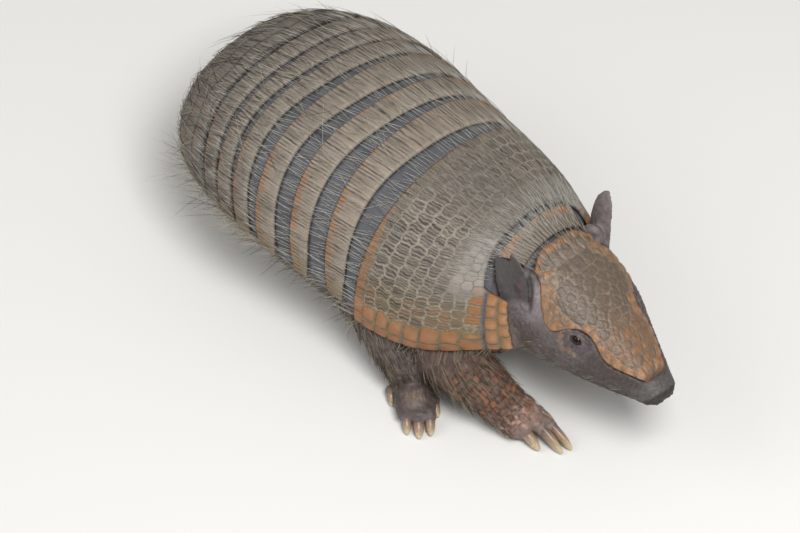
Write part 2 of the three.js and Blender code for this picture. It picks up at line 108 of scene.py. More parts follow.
def through(stations, rows):
    """A smooth curve through rows of numbers, straight beyond its two ends."""
    ts = np.array(stations, float)
    ys = np.array(rows, float).reshape(len(ts), -1)
    before = np.maximum(np.arange(len(ts)) - 1, 0)
    after = np.minimum(np.arange(len(ts)) + 1, len(ts) - 1)
    slope = (ys[after] - ys[before]) / (ts[after] - ts[before])[:, None]

    def at(t):
        t = np.asarray(t, float)
        i = np.clip(np.searchsorted(ts, t, side="right") - 1, 0, len(ts) - 2)
        h = (ts[i + 1] - ts[i])[..., None]
        u = np.clip((t[..., None] - ts[i][..., None]) / h, 0, 1)
        value = (2 * u**3 - 3 * u**2 + 1) * ys[i] + (u**3 - 2 * u**2 + u) * h * slope[i]
        value = value + (3 * u**2 - 2 * u**3) * ys[i + 1] + (u**3 - u**2) * h * slope[i + 1]
        below = np.minimum(t - ts[0], 0)[..., None] * slope[0]
        return value + below + np.maximum(t - ts[-1], 0)[..., None] * slope[-1]

    return at


def held(stations, values):
    """The same, for one number that stays level beyond the ends."""
    curve = through(stations, values)
    return lambda t: curve(np.clip(t, stations[0], stations[-1]))[..., 0]


print("ease(0.5) =", float(ease(0.5)))

# %% [markdown]
# ## Two formers: the hull and the skull
# The back is one smooth surface, `hull(s, v)`: `s` runs from the nape (0) to the root of the tail (1), and
# `v` goes round the body in degrees, with 0 on the midline of the back and 90 at the widest level. The head
# has its own, `skull(x, v)`, in a frame that is turned nose-down. Both are superellipses through stations.
# Plates, skin and hair are all laid on these two, so they fit each other.

# %% The hull
STATION = [0, 0.15, 0.35, 0.55, 0.75, 0.9, 1]
BACK = [[-2, 141], [-44, 149], [-120, 152], [-190, 151], [-252, 143], [-290, 122], [-302, 94]]
RIM = [[18, 84], [-50, 62], [-113, 66], [-169, 76], [-226, 80], [-276, 72], [-298, 60]]
HALF_WIDTH = [52, 80, 93, 101, 95, 70, 28]
SQUARENESS = 2.3
BELLY = 0.55  # depth below the rim, as a share of the height above it
FLANK_TUCK = 9.0
PLATE, SHIELD = 4.0, 3.0  # thickness of the body's armour and of the head's
back, rim = through(STATION, BACK), through(STATION, RIM)
half_width = through(STATION, HALF_WIDTH)
rim_angle = held([-0.02, 0.04, 0.1, 0.2, 0.27, 0.305, 0.6, 1], [90, 94, 99, 98, 95, 89, 88, 90])


def bulge(c, n):
    return np.sign(c) * np.abs(c) ** (2 / n)


def hull_point(s, v):
    up = bulge(np.cos(np.radians(v)), SQUARENESS)
    share = np.where(up >= 0, up, BELLY * up)[..., None]
    top, side = back(s), rim(s)
    xz = side + (top - side) * share
    y = half_width(s)[..., 0] * bulge(np.sin(np.radians(v)), SQUARENESS)
    return np.stack([xz[..., 0], y, xz[..., 1]], -1)


def outward(point, step, sign):
    """The surface moved along its own normal, so that a height can be added to any place on it."""
    def at(u, v, off=0.0):
        u, v = np.broadcast_arrays(np.asarray(u, float), np.asarray(v, float))
        along = point(u + step, v) - point(u - step, v)
        around = point(u, v + 1) - point(u, v - 1)
        return point(u, v) + unit(np.cross(around, along) * sign) * np.asarray(off, float)[..., None]
    return at


hull = outward(hull_point, 0.004, 1)


def onto_hull(points, steps=5):
    """The place on the hull (s, v) and the height above it of points near it, by Newton's method."""
    s = np.interp(-points[:, 0], [-10, 44, 120, 190, 252, 295], STATION[:5] + [0.93])
    top, side = back(s)[:, 1], rim(s)[:, 1]
    v = np.degrees(np.arctan2(points[:, 1] / half_width(s)[:, 0], (points[:, 2] - side) / (top - side)))
    for _ in range(steps):
        here = hull_point(s, v)
        along, around = (hull_point(s + 0.003, v) - here) / 0.003, hull_point(s, v + 0.6) - here
        around = around / 0.6
        gap = points - here
        aa, ab, bb = (along**2).sum(1), (along * around).sum(1), (around**2).sum(1)
        ga, gb = (gap * along).sum(1), (gap * around).sum(1)
        det = np.maximum(aa * bb - ab**2, 1e-6)
        s = np.clip(s + np.clip((bb * ga - ab * gb) / det, -0.06, 0.06), -0.06, 1.03)
        v = v + np.clip((aa * gb - ab * ga) / det, -15, 15)
    normal = unit(np.cross(around, along))
    return s, (v + 180) % 360 - 180, ((points - hull_point(s, v)) * normal).sum(1)


print("top of the back, mm:", hull(0.35, 0.0, 0.0).round(1))

# %% The skull
HEAD_AT = np.array([16.0, 2.0, 137.0])
YAW, PITCH = -5, 23
head_turn = Matrix.Rotation(math.radians(YAW), 3, "Z") @ Matrix.Rotation(math.radians(PITCH), 3, "Y")
head_turn = np.array(head_turn)
SKULL_X = [-16, 0, 15, 38, 62, 86, 108, 114, 118]
skull_top = held(SKULL_X, [1, 1, 2, 1, -2, -5, -8, -9.5, -12.5])
skull_low = held(SKULL_X, [-88, -87, -83, -73, -62, -48, -32.5, -29, -24.5])
skull_half = held(SKULL_X, [39, 39.5, 39, 35.5, 29, 20.5, 13.4, 11.6, 7])
skull_cheek = held(SKULL_X, [0, 0, 1.5, 4.5, 4.5, 3.5, 1.2, 0.5, 0])
CHEEK_LEVEL = 0.4
NECK_X, THROAT_SLANT = 6, 17


def skull_point(x, v):
    c = np.cos(np.radians(v))
    n = np.where(c >= 0, 2.5, 2.8)
    top, low = skull_top(x), skull_low(x)
    level = top + (low - top) * CHEEK_LEVEL
    z = level + bulge(c, n) * np.where(c >= 0, top - level, level - low)
    cheek = skull_cheek(x) * ease((np.abs(signed(v)) - 52) / 45)
    return np.stack([x, (skull_half(x) + cheek) * bulge(np.sin(np.radians(v)), n), z], -1)


skull = outward(skull_point, 1.0, -1)


def from_head(points):
    return points @ head_turn.T + HEAD_AT


def into_head(points):
    return (points - HEAD_AT) @ head_turn


print("tip of the nose, mm:", from_head(skull(118.0, 0.0, 0.0)).round(1))

# %% [markdown]
# ## Making a sheet
# A plate or a stretch of skin starts as Blender's grid primitive. Its two sides give each vertex a share from
# 0 to 1, and a rule turns those shares into a place on a former. That is how a sheet of clay is laid over a
# mould. A plate gets a second, coarser sheet inside, and `bridge_edge_loops` closes the wall between them,
# which costs far fewer faces than a Solidify modifier on the fine sheet would.

# %% Helpers for meshes
def only(*pieces):
    """Select just these pieces, with the first one active."""
    bpy.ops.object.select_all(action="DESELECT")
    for piece in pieces:
        piece.select_set(True)
    bpy.context.view_layer.objects.active = pieces[0]


def places(piece):
    co = np.empty(len(piece.data.vertices) * 3)
    piece.data.vertices.foreach_get("co", co)
    return co.reshape(-1, 3)


def in_mm(piece):
    """Where a piece's vertices lie in the animal's axes."""
    return places(piece) / MM + FLOOR_MIDDLE


def put(piece, points):
    """Move a piece's vertices to places in the animal's axes."""
    piece.data.vertices.foreach_set("co", np.ascontiguousarray(in_frame(points), float).ravel())
    piece.data.update()


def kept_above(level, points):
    """What would sink below a level is pressed flat on it."""
    points[:, 2] = np.maximum(points[:, 2], level)
    return points


def paint(piece, colours):
    """Store one linear colour for each vertex, for the piece's material to read."""
    layers = piece.data.color_attributes
    layer = layers.get("tint") or layers.new("tint", "FLOAT_COLOR", "POINT")
    rgba = np.ones((len(piece.data.vertices), 4), np.float32)
    rgba[:, :3] = colours
    layer.data.foreach_set("color", rgba.ravel())


def sheet(name, rows, cols, lay):
    """A grid whose vertices are put where lay(i, j) says, with i and j from 0 to 1."""
    bpy.ops.object.select_all(action="DESELECT")
    bpy.ops.mesh.primitive_grid_add(x_subdivisions=rows, y_subdivisions=cols, size=2)
    piece = bpy.context.object
    piece.name = name
    flat = places(piece)
    put(piece, lay((flat[:, 0] + 1) / 2, (flat[:, 1] + 1) / 2))
    return piece


def edit(piece):
    only(piece)
    bpy.ops.object.mode_set(mode="EDIT")
    bpy.ops.mesh.select_mode(type="VERT")
    bpy.ops.mesh.select_all(action="SELECT")


def done():
    bpy.ops.object.mode_set(mode="OBJECT")
    return bpy.context.object


def tidy_shape(piece, smooth=40):
    """Normals outward and soft shading, but for edges sharper than the given angle."""
    edit(piece)
    bpy.ops.mesh.normals_make_consistent(inside=False)
    piece = done()
    bpy.ops.object.shade_smooth_by_angle(angle=math.radians(smooth))
    return piece


def tube(name, rows, cols, lay):
    """A sheet rolled up: its two long sides meet, and both ends are closed."""
    piece = sheet(name, rows, cols, lambda i, j: lay(i, j % 1.0))
    edit(piece)
    bpy.ops.mesh.remove_doubles(threshold=0.00002)
    bpy.ops.mesh.select_all(action="SELECT")
    bpy.ops.mesh.fill_holes(sides=0)
    bpy.ops.mesh.select_all(action="SELECT")
    bpy.ops.mesh.normals_make_consistent(inside=False)
    return done()


def joined(name, pieces):
    only(*pieces)
    bpy.ops.object.join()
    bpy.context.object.name = name
    return bpy.context.object


def triangles(piece):
    return sum(len(p.vertices) - 2 for p in piece.data.polygons)


print("helpers ready")

# %% [markdown]
# ## Colours
# The colours are sRGB hex values as a painter would mix them. One function turns them to the linear values
# that Blender works in. These are the colours of horn; skin and hair get theirs further on.

# %% Palette
def linear(code):
    """A hex colour as linear red, green and blue."""
    c = np.array([int(code[k:k + 2], 16) for k in (1, 3, 5)]) / 255
    return np.where(c <= 0.04045, c / 12.92, ((c + 0.055) / 1.055) ** 2.4)


HORN_TAN = linear("#887b6c")
HORN_GREY = linear("#746d64")
HORN_PALE = linear("#aca191")
HORN_SMOOTH = linear("#928a83")
HORN_DARK = linear("#4d443d")
HORN_OLIVE = linear("#5f5343")
HORN_BROWN = linear("#74603f")
GROOVE = linear("#2f2823")
ORANGE = linear("#9e6b38")
RED_ORANGE = linear("#915a33")
SKIN_SLATE = linear("#54565b")
SKIN_DARK = linear("#3a3230")


def blend(a, b, share):
    """Two colours, or lists of colours, mixed by a share for each point."""
    return a + (b - a) * np.clip(np.asarray(share, float), 0, 1)[..., None]


print("tan horn in linear values:", HORN_TAN.round(3))

# %% [markdown]
# ## How a scute is drawn
# The armour is a pavement of small horny plates, the scutes. Each one is worked out from a list of scute
# centres: a point belongs to the nearest centre, and its distance to the border between two scutes gives the
# groove, the domed edge and the pale rim. Distances use a power above 2, which makes the cells squarer, and
# each centre has its own half length and half width. Real scutes also carry dark dashes along the body, where
# the hair follicles lie. The grooves are real geometry, so they show from every side.

# %% Scutes and unevenness
SCUTE_CHUNK = 6000  # points handled at a time, to spare memory


def wobble(seed, *scaled):
    """Smooth unevenness between about -1 and 1, over coordinates already divided by its size."""
    draw = np.random.default_rng(seed)
    total = 0.0
    for _ in range(7):
        way = draw.normal(size=len(scaled))
        way *= draw.uniform(0.6, 1.7) / np.linalg.norm(way)
        total = total + np.sin(2 * np.pi * sum(w * c for w, c in zip(way, scaled)) + draw.uniform(0, 6.28))
    return total / 3.2


def in_scutes(a, b, centres, mm_a=1.0, mm_b=1.0, power=3.0):
    """For points (a, b): which scute each is in, how many mm from its edge, and the place in the scute."""
    which = np.empty(len(a), int)
    edge = np.empty(len(a))
    for start in range(0, len(a), SCUTE_CHUNK):
        part = slice(start, start + SCUTE_CHUNK)
        da = np.abs(a[part, None] - centres[:, 0]) / centres[:, 2]
        db = np.abs(b[part, None] - centres[:, 1]) / centres[:, 3]
        d = (da**power + db**power) ** (1 / power)
        two = np.argpartition(d, 1, axis=1)[:, :2]
        first, second = np.sort(np.take_along_axis(d, two, 1), axis=1).T
        best = np.argmin(d, axis=1)
        n = np.arange(len(best))
        lean_a, lean_b = da[n, best], db[n, best]
        half = lean_a * centres[best, 2] * mm_a + lean_b * centres[best, 3] * mm_b
        which[part] = best
        edge[part] = (second - first) / 2 * (half / (lean_a + lean_b + 1e-6))
    local_a = (a - centres[which, 0]) / centres[which, 2]
    local_b = (b - centres[which, 1]) / centres[which, 3]
    return which, edge, local_a, local_b


def scute_dome(edge, height, width=0.9):
    """A scute rises from its groove over about a millimetre and is then nearly flat."""
    return height * (1 - np.exp(-((edge / width) ** 1.4)))


def round_edges(i, j, length, across, drop=1.3, width=1.6):
    """How far a plate's surface drops toward its four edges, so that they are rounded."""
    near = np.minimum(np.minimum(i, 1 - i) * length, np.minimum(j, 1 - j) * across)
    return -drop * (1 - ease(near / width)) ** 1.5


COARSER = 7  # the inside of a plate has a seventh of the rows


def plate(name, rows, cols, spot, relief, former, thick):
    """A closed plate: a fine, modelled sheet outside, a coarse one inside, and the wall between them."""
    kept = {}

    def lay(i, j):
        a, b = spot(i, j)
        height, kept["tint"] = relief(i, j, a, b)
        return former(a, b, height)

    outer = sheet(name, rows, cols, lay)
    paint(outer, kept["tint"])
    inner = sheet(name + "_inside", max(rows // COARSER, 2), max(cols // COARSER, 8),
                  lambda i, j: former(*spot(i, j), -thick))
    paint(inner, SKIN_DARK)
    piece = joined(name, [outer, inner])
    edit(piece)
    bpy.ops.mesh.select_all(action="DESELECT")
    bpy.ops.mesh.select_non_manifold(extend=False, use_wire=False, use_multi_face=False,
                                     use_non_contiguous=False, use_verts=False)
    bpy.ops.mesh.bridge_edge_loops()
    bpy.ops.mesh.select_all(action="SELECT")
    done()
    return tidy_shape(piece, 55)


print("scute tools ready")

# %% [markdown]
# ## The shoulder shield
# It covers the shoulders from the nape to the first band, and reaches lowest there. Its scutes stand in
# columns across the body. In front they are smooth and pale, in the middle dark with a whitish rim, and along
# the top and toward the rear streaked. Two rows of large orange ones hem the lower edge, and narrow ones the
# rear edge. Low in front, a lobe of orange scutes reaches forward past a fold of bare skin.

# %% Layout of the shoulder shield
MM_PER_S, MM_PER_DEG = 370.0, 1.55  # about how long one unit of s and one degree of v are
ACROSS = [-88, -30, 20, 88]
SHOULDER_COLUMNS = [0.037, 0.062, 0.083, 0.103, 0.126, 0.149, 0.172, 0.199, 0.226, 0.252, 0.28]
SCUTE_PITCH = 6.2  # degrees round the body from one scute to the next
LOBE_COLUMNS = [-0.008, 0.012, 0.033]
FOLD_AT = 0.0345
scapular_end = held(ACROSS, [0.276, 0.277, 0.271, 0.25])


def scapular_front(v):
    scallops = 0.0022 * np.abs(np.sin(np.pi * (np.abs(v) - 56) / 8.2)) * ease((np.abs(v) - 54) / 4)
    return 0.064 - 0.022 * np.minimum(np.abs(v) / 52, 1) ** 2 - 0.044 * ease((np.abs(v) - 52) / 8) - scallops


def scapular_spot(i, j):
    v = mix(-1, 1, j) * rim_angle(mix(0.0, 0.276, i))
    return mix(scapular_front(v), scapular_end(v), i), v


def shoulder_centres():
    """Centres and half sizes of the scutes: columns over the back, two hems below, and the lobes."""
    draw = np.random.default_rng(3)
    rows = []
    columns = list(zip(SHOULDER_COLUMNS[:-1], SHOULDER_COLUMNS[1:]))
    for k, (a, b) in enumerate(columns):
        margin = k == len(columns) - 1
        pitch = SCUTE_PITCH / 2 if margin else SCUTE_PITCH
        shift = 0.25 if margin else 0.5 * (k % 2)
        steps = int(80 // pitch)
        for m in range(-steps - 1, steps + 1):
            v = (m + shift) * pitch
            if abs(v) < 81:
                ragged = 0.0 if margin else 1.0
                rows.append([(a + b) / 2 + ragged * draw.normal() * 0.0012, v + ragged * draw.normal() * 0.45,
                             (b - a) / 2, pitch / 2])
    for side in (-1, 1):
        for n in range(8):
            s = 0.052 + 0.0305 * n
            low = rim_angle(s)
            rows.append([s, side * (low - 11.6), 0.0155, 4.4])
            rows.append([s + 0.001, side * (low - 3.6), 0.0155, 4.2])
        for k, (a, b) in enumerate(zip(LOBE_COLUMNS[:-1], LOBE_COLUMNS[1:])):
            for m in range(5):
                rows.append([(a + b) / 2, side * (60 + 4 * (1 - k) + 8.2 * m), (b - a) / 2, 4.1])
    return np.array(rows)


print("shoulder shield:", len(shoulder_centres()), "scutes")


# %% Relief and colour of the shoulder shield
def scapular_relief(i, j, s, v):
    centres = shoulder_centres()
    bent_s, bent_v = s + 0.0016 * wobble(4, s * 34, v / 11), v + 0.5 * wobble(9, s * 30, v / 12)
    which, edge, la, lb = in_scutes(bent_s, bent_v, centres, MM_PER_S, MM_PER_DEG, power=2.6)
    cs, cv = centres[which, 0], np.abs(centres[which, 1])
    draw = np.random.default_rng(8)
    lucky = draw.uniform(-1, 1, len(centres))[which]
    flank = np.abs(v)
    side = ease((cv - 10) / 16)  # 0 along the top of the back
    smooth = ease((0.125 - cs) / 0.04) * side * (1 - ease((cv - 52) / 12))
    top = 1 - side
    margin = (cs > 0.25).astype(float)
    lobe = (cs < 0.034).astype(float)
    hem = ease((cv - 81) / 3)
    brown = ease((cv - 58) / 16) * (1 - hem)
    front_orange = ease((0.062 - cs) / 0.01) * ease((cv - 52) / 6)
    patch = draw.uniform(0, 1, 60)[(np.floor(v / 4.4)).astype(int) % 60]
    low_side = ease((flank - 30) / 30)
    tip = margin * ease((la + mix(-0.1, 0.9, low_side)) / 0.4)
    tip = tip * ease((patch - mix(0.5, -0.2, low_side)) / 0.1)
    orange = np.clip(hem + lobe + front_orange + tip, 0, 1)

    inner = blend(blend(HORN_GREY, HORN_DARK, 0.3 * (1 - top)), HORN_SMOOTH, smooth)
    inner = blend(blend(inner, HORN_BROWN, 0.75 * brown), HORN_TAN, 0.5 * margin)
    warm_heart = brown * ease((lucky + 0.2) / 0.4) * ease((cv - 66) / 8)
    heart = ease((edge - 0.7) / 1.3)  # the orange lies in the middle of a scute
    colour = blend(ORANGE, RED_ORANGE, 0.5 + 0.5 * lucky * (1 - hem) + 0.5 * hem * ease((cv - 90) / 3))
    inner = blend(inner, blend(HORN_BROWN, colour, mix(heart, 0.75, margin)), orange)
    inner = blend(inner, ORANGE, 0.5 * warm_heart * heart)
    inner = blend(inner, HORN_PALE, (0.06 + 0.07 * lucky) * (1 - 0.7 * orange))
    # Painted highlight: a pale spot on each lobe scute and, fainter, on each hem scute.
    painted_highlight = hump(la + 0.25, 0.45) * hump(lb - 0.2 * lucky, 0.5)
    inner = blend(inner, HORN_PALE, 0.3 * painted_highlight * heart * np.maximum(lobe, 0.6 * hem))
    rim_shade = blend(blend(HORN_PALE, HORN_DARK, 0.8 * smooth), HORN_GREY, 0.55 * top)
    broken = np.clip(0.62 + 0.75 * wobble(5, s * 95, v / 3.2), 0.12, 1) * (1 - smooth) + 0.8 * smooth
    rim_shade = blend(rim_shade, blend(HORN_BROWN, HORN_PALE, 0.3), np.maximum(np.maximum(hem, lobe), margin))

    # Dark dashes along the body: three or four in a scute, strongest low and toward the rear.
    streaky = (0.5 + 0.5 * ease((cs - 0.1) / 0.06)) * (1 - 0.85 * smooth) * (1 - hem) * (1 - lobe)
    lanes = np.where(margin > 0, 3.0, np.where(lucky > 0.1, 3.0, 4.0))
    place = lanes * (lb + 1) / 2 + 0.12 * wobble(7, s * 60, v / 4)
    lane = np.floor(place).astype(int)
    strength = draw.uniform(0.45, 1.0, 4001)[(which * 7 + lane) % 4001]
    dashes = ease((np.sin(np.pi * (place - lane)) - 0.3) / 0.4) * strength
    dashes = dashes * ease((edge - mix(0.5, 0.1, margin)) / 0.5)
    streak = 0.5 + 0.5 * np.cos(2 * np.pi * (v + 0.4 * wobble(3, s * 25, v / 9)) / 1.5)
    streak = streak * np.clip(0.7 + 0.5 * wobble(2, s * 40, v / 3), 0, 1)
    tint = blend(inner, HORN_PALE, 0.3 * streaky * (1 - dashes) * (1 - top) * (1 - brown * 0.6))
    tint = blend(tint, GROOVE, (0.9 - 0.35 * top) * streaky * dashes * (1 - 0.5 * orange))
    tint = blend(tint, HORN_DARK, (0.15 + 0.45 * top) * streak * (1 - hem) * (1 - smooth))
    tint = blend(tint, rim_shade, (1 - ease((edge - 0.1) / 0.55)) * (0.72 - 0.4 * top - 0.1 * hem) * broken)
    joint = np.clip(0.7 * hem + margin + smooth + lobe, 0, 1) + 0.35
    tint = blend(tint, GROOVE, 0.5 * (1 - ease(edge / mix(0.32, 0.75, margin))) * np.clip(joint, 0, 1))
    fold = hump((s - FOLD_AT) * MM_PER_S, 1.3) * ease((flank - 50) / 8)
    tint = blend(tint, SKIN_SLATE, fold)

    height = scute_dome(edge, 0.5 + 0.35 * hem + 0.25 * lobe - 0.2 * smooth) - 0.5
    height = height - 0.26 * streaky * dashes - 0.07 * streak * (1 - hem) * (1 - smooth)
    height = height + 0.12 * wobble(6, s * 12, v / 30) - 1.3 * fold
    return height + round_edges(i, j, 88, 290), tint


scapular = plate("scapular_shield_scutes", 150, 560, scapular_spot, scapular_relief, hull, PLATE - 0.3)
print(scapular.name, triangles(scapular), "triangles")

# %% [markdown]
# ## The six bands
# Each band is one row of long, narrow scutes with ridges along them. Its front half slides under the plate
# before it, so it is smooth and pale. The rear half is worn into ridges with dark grooves between them, and
# the rear edge is tipped with orange, most of all low on the sides. The rump shield uses the same rule.

# %% Bands
BAND_EDGES = [
    [[0.304, 0.321, 0.302, 0.275], [0.35, 0.378, 0.37, 0.34]],
    [[0.4, 0.417, 0.392, 0.357], [0.441, 0.47, 0.446, 0.42]],
    [[0.492, 0.508, 0.472, 0.44], [0.549, 0.558, 0.535, 0.505]],
    [[0.577, 0.592, 0.555, 0.522], [0.62, 0.631, 0.6, 0.572]],
    [[0.632, 0.65, 0.615, 0.585], [0.68, 0.682, 0.66, 0.635]],
    [[0.69, 0.7, 0.675, 0.648], [0.73, 0.742, 0.722, 0.698]],
]
RIDGE_DEG = 1.9  # one ridge and its groove, about 3 mm
RIDGES_IN_SCUTE = 3


def ridged(a, v, seed, greyness, orange_share):
    """Height and colour of one row of ridged scutes. a runs from its front edge (0) to its rear (1)."""
    bent = v + 0.16 * wobble(seed, a * 0.8, v / 14)
    lane = bent / RIDGE_DEG
    number = np.floor(lane).astype(int)
    off_centre = np.abs(lane - number - 0.5) * 2
    draw = np.random.default_rng(seed)
    worn = draw.uniform(0.25, 0.66, 400)[number % 400]  # where on each ridge the groove begins
    deep = draw.uniform(0.45, 1.0, 400)[number % 400]
    lucky = draw.uniform(0, 1, 400)[number % 400]
    patch = draw.uniform(0, 1, 400)[number % 400]
    rear = ease((a - worn) / 0.22)
    groove = ease((off_centre - 0.5) / 0.4) * deep
    between = (number % RIDGES_IN_SCUTE == 0) & (lane - number < 0.5)
    seam = groove * between * ease((a - 0.05) / 0.2)
    thread = (v + 0.12 * wobble(seed + 3, a * 1.2, v / 7)) / 0.8
    strand = np.floor(thread).astype(int)
    tone = (draw.uniform(-0.5, 0.5, 401)[strand % 401] + 0.6 * (strand % 2) - 0.3)
    tone = tone * np.clip(0.85 + 0.4 * wobble(seed + 2, a * 1.6, v / 5), 0.2, 1.2)
    fine = np.clip(1.5 * tone, 0, 1) * ease((1 - np.abs(2 * (thread - strand) - 1)) / 0.3)
    low = ease((np.abs(v) - 76) / 8)

    tint = blend(HORN_TAN, HORN_GREY, greyness)
    tint = blend(tint, HORN_PALE, 0.14 * (1 - ease(a / 0.45)) + 0.08 * lucky + 0.5 * np.clip(-tone, 0, 1))
    blotch = 0.08 * wobble(seed + 1, a * 1.4, v / 9)
    tint = blend(tint, HORN_DARK, mix(0.75, 0.95, ease(a / 0.4)) * fine + blotch)
    on_side = ease((np.abs(v) - 30) / 14)
    spots = mix(0.15, 1.0, ease((mix(0.5, 0.95, on_side) - patch) / 0.3))
    tip = ease((a - mix(0.74, 0.5, on_side) - 0.15 * lucky) / 0.2) * spots * orange_share
    tint = blend(tint, blend(blend(ORANGE, RED_ORANGE, lucky), HORN_DARK, 0.35 * fine), 0.72 * tip)
    tint = blend(tint, HORN_BROWN, 0.6 * low)
    tint = blend(tint, GROOVE, np.clip(0.6 * groove * rear + 0.4 * seam, 0, 0.8))
    tint = blend(tint, HORN_PALE, 0.45 * (1 - ease(a / 0.07)))
    height = -0.36 * groove * rear - 0.25 * seam - 0.12 * fine + 0.25 * ease((a - 0.4) / 0.5)
    return height, tint


def band_plate(number, front_row, rear_row):
    front, rear = held(ACROSS, front_row), held(ACROSS, rear_row)

    def spot(i, j):
        v = mix(-1, 1, j) * rim_angle(mix(front_row[0], rear_row[0], i))
        # The low ends are drawn to a blunt point, so the bands part from each other there.
        taper = 0.16 * ease((np.abs(v) - 76) / 13)
        return mix(front(v), rear(v), mix(taper, 1 - 0.4 * taper, i)), v

    def relief(i, j, s, v):
        height, tint = ridged(i, v, 20 + number, 0.14 * number, 1.0 - 0.1 * number)
        tint = blend(tint, HORN_DARK, 0.05 * max(number - 2, 0))
        return height - 0.35 + round_edges(i, j, 20, 300, 1.5, 1.3), tint

    return plate(f"band_{number}_scutes", 26, 720, spot, relief, hull, PLATE - 0.3)


bands = [band_plate(n + 1, *rows) for n, rows in enumerate(BAND_EDGES)]
print(len(bands), "bands,", sum(triangles(b) for b in bands), "triangles")

# %% [markdown]
# ## The rump shield and the nape band
# The rump shield is six ridged rows fused edge to edge; each one overlaps the next like a tile. The nape
# band is a single short row between the ears, with an orange spot at the rear of each scute.

# %% Rump shield
pelvic_front = held(ACROSS, [0.74, 0.757, 0.737, 0.711])
RUMP_ROWS = 6


def pelvic_spot(i, j):
    v = mix(-1, 1, j) * rim_angle(mix(0.74, 1.0, i))
    return mix(pelvic_front(v), 1.0, i), v


def pelvic_relief(i, j, s, v):
    row = i * RUMP_ROWS + 0.12 * wobble(41, v / 30, i * 0.7)
    a = row % 1.0
    height, tint = ridged(a, v + 0.9 * (np.floor(row) % 2), 40, 0.75, 0.35)
    step = ease(a / 0.12) * (1 - ease((a - 0.94) / 0.06))
    # Darker toward the rear: painted shade where the rump turns away from the light, together with the dark
    # of the dense hair there.
    tint = blend(tint, HORN_DARK, 0.22 + 0.42 * i)
    strip = 0.85 * (1 - ease(a / 0.3)) * (1 - ease((i - 0.55) / 0.3))
    tint = blend(tint, blend(SKIN_SLATE, GROOVE, 0.3), strip)
    tint = blend(tint, GROOVE, 0.7 * (1 - step))
    return height - 0.45 * (1 - step) - 0.3 + round_edges(i, j, 90, 260), tint


pelvic = plate("pelvic_shield_scutes", 110, 600, pelvic_spot, pelvic_relief, hull, PLATE - 0.3)
print(pelvic.name, triangles(pelvic), "triangles")

# %% Nape band
NUCHAL_SIDES = (-28, 36)
NAPE_PITCH = 7.6


def nuchal_spot(i, j):
    v = mix(*NUCHAL_SIDES, j)
    return mix(-0.018, 0.045 - 0.012 * (v / 50) ** 2, i), v


def nuchal_relief(i, j, s, v):
    lane = v / NAPE_PITCH + 0.06 * wobble(51, i * 1.5, v / 20)
    cell = np.floor(lane).astype(int)
    place = lane - cell
    border = np.minimum(place, 1 - place) * NAPE_PITCH * 0.95
    lucky = np.random.default_rng(52).uniform(0, 1, 60)[cell % 60]
    dashes = ease((0.5 + 0.5 * np.cos(2 * np.pi * 3 * place) - 0.35) / 0.45)
    tint = blend(HORN_TAN, HORN_GREY, 0.25 + 0.3 * lucky)
    on_side = ease((np.abs(v) - 4) / 14)
    spot = ease((i - 0.6 + 0.1 * on_side - 0.12 * lucky) / 0.12) * mix(0.45, 1.0, on_side)
    tint = blend(tint, blend(ORANGE, HORN_TAN, 0.2), 0.85 * spot * ease(border / 1.5))
    tint = blend(tint, GROOVE, 0.62 * dashes * (1 - 0.75 * spot))
    tint = blend(tint, GROOVE, 0.5 * (1 - ease(border / 0.5)))
    height = scute_dome(border, 0.5) - 0.5 - 0.18 * dashes * (1 - spot)
    return height + round_edges(i, j, 25, 95, 1.2, 1.4), tint


nuchal = plate("nuchal_band_scutes", 50, 190, nuchal_spot, nuchal_relief, hull, SHIELD - 0.3)
print(nuchal.name, triangles(nuchal), "triangles")

# %% [markdown]
# ## The head shield
# Twenty-odd large, low scutes pave the top of the head, with smaller ones between the eyes and on the muzzle.
# Their edges are worn, so the joints are shallow and pale. Orange ones line the rear edge, the brow, the
# flange behind the eye and the sides of the muzzle. The outline is a curve of half angle against x, with a
# notch over the eye.

# %% Head shield
SHIELD_X = [-14, 4, 11, 18, 26, 33, 39, 45, 51, 59, 66, 72, 80, 88, 94, 100, 104]
SHIELD_HALF_ANGLE = [33, 37, 42, 54, 66, 74, 71, 53, 43, 42, 48, 57, 61, 57, 48, 37, 27]
SHIELD_FRONT = 103
shield_edge = held(SHIELD_X, SHIELD_HALF_ANGLE)
shield_rear = held([0, 20, 40], [-9, -8, 0])


def head_former(x, v, off):
    return from_head(skull(x, v, off))


def shield_spot(i, j):
    k = mix(-1, 1, j)
    x = mix(shield_rear(np.abs(k) * 40), SHIELD_FRONT, i)
    return x, k * shield_edge(x)


def round_skull(x):
    """Millimetres per degree round the skull."""
    return 1.12 * skull_half(x) * math.pi / 180


def head_centres():
    """A rear row, a hem along both sides and a ragged lattice between, as x and mm from the midline."""
    draw = np.random.default_rng(17)

    def flank(x):
        return shield_edge(x) * round_skull(x)

    rows = []
    for m in range(-4, 5):
        rows.append([shield_rear(abs(m) * 9.0) + 6.0, m * 6.4, 6.5, 3.2, 1.0])
    for side in (-1, 1):
        for n, x in enumerate(np.arange(7, 100, 7.6)):
            broad = mix(4.6, 6.4, ease((44 - x) / 14))
            rows.append([x, side * (flank(x) - broad), 3.8, broad + 0.3, 1.0])
        for x in (14.0, 22.0, 30.5, 37.0):
            rows.append([x, side * (flank(x) - 17.0), 4.0, 4.4, 0.75])
    size = 8.4
    for n in range(13):
        x = 15.0 + n * size * 0.8
        small = mix(1.0, 0.72, ease((x - 55) / 40))
        for m in range(-5, 6):
            w = (m + 0.5 * (n % 2)) * size * small
            if abs(w) < flank(x) - mix(11.5, 20.0, ease((44 - x) / 14)):
                spot = [x + draw.normal() * 0.9, w + draw.normal() * 0.8]
                rows.append(spot + [size * small * draw.uniform(0.46, 0.56) for _ in range(2)] + [0.0])
    return np.array(rows)


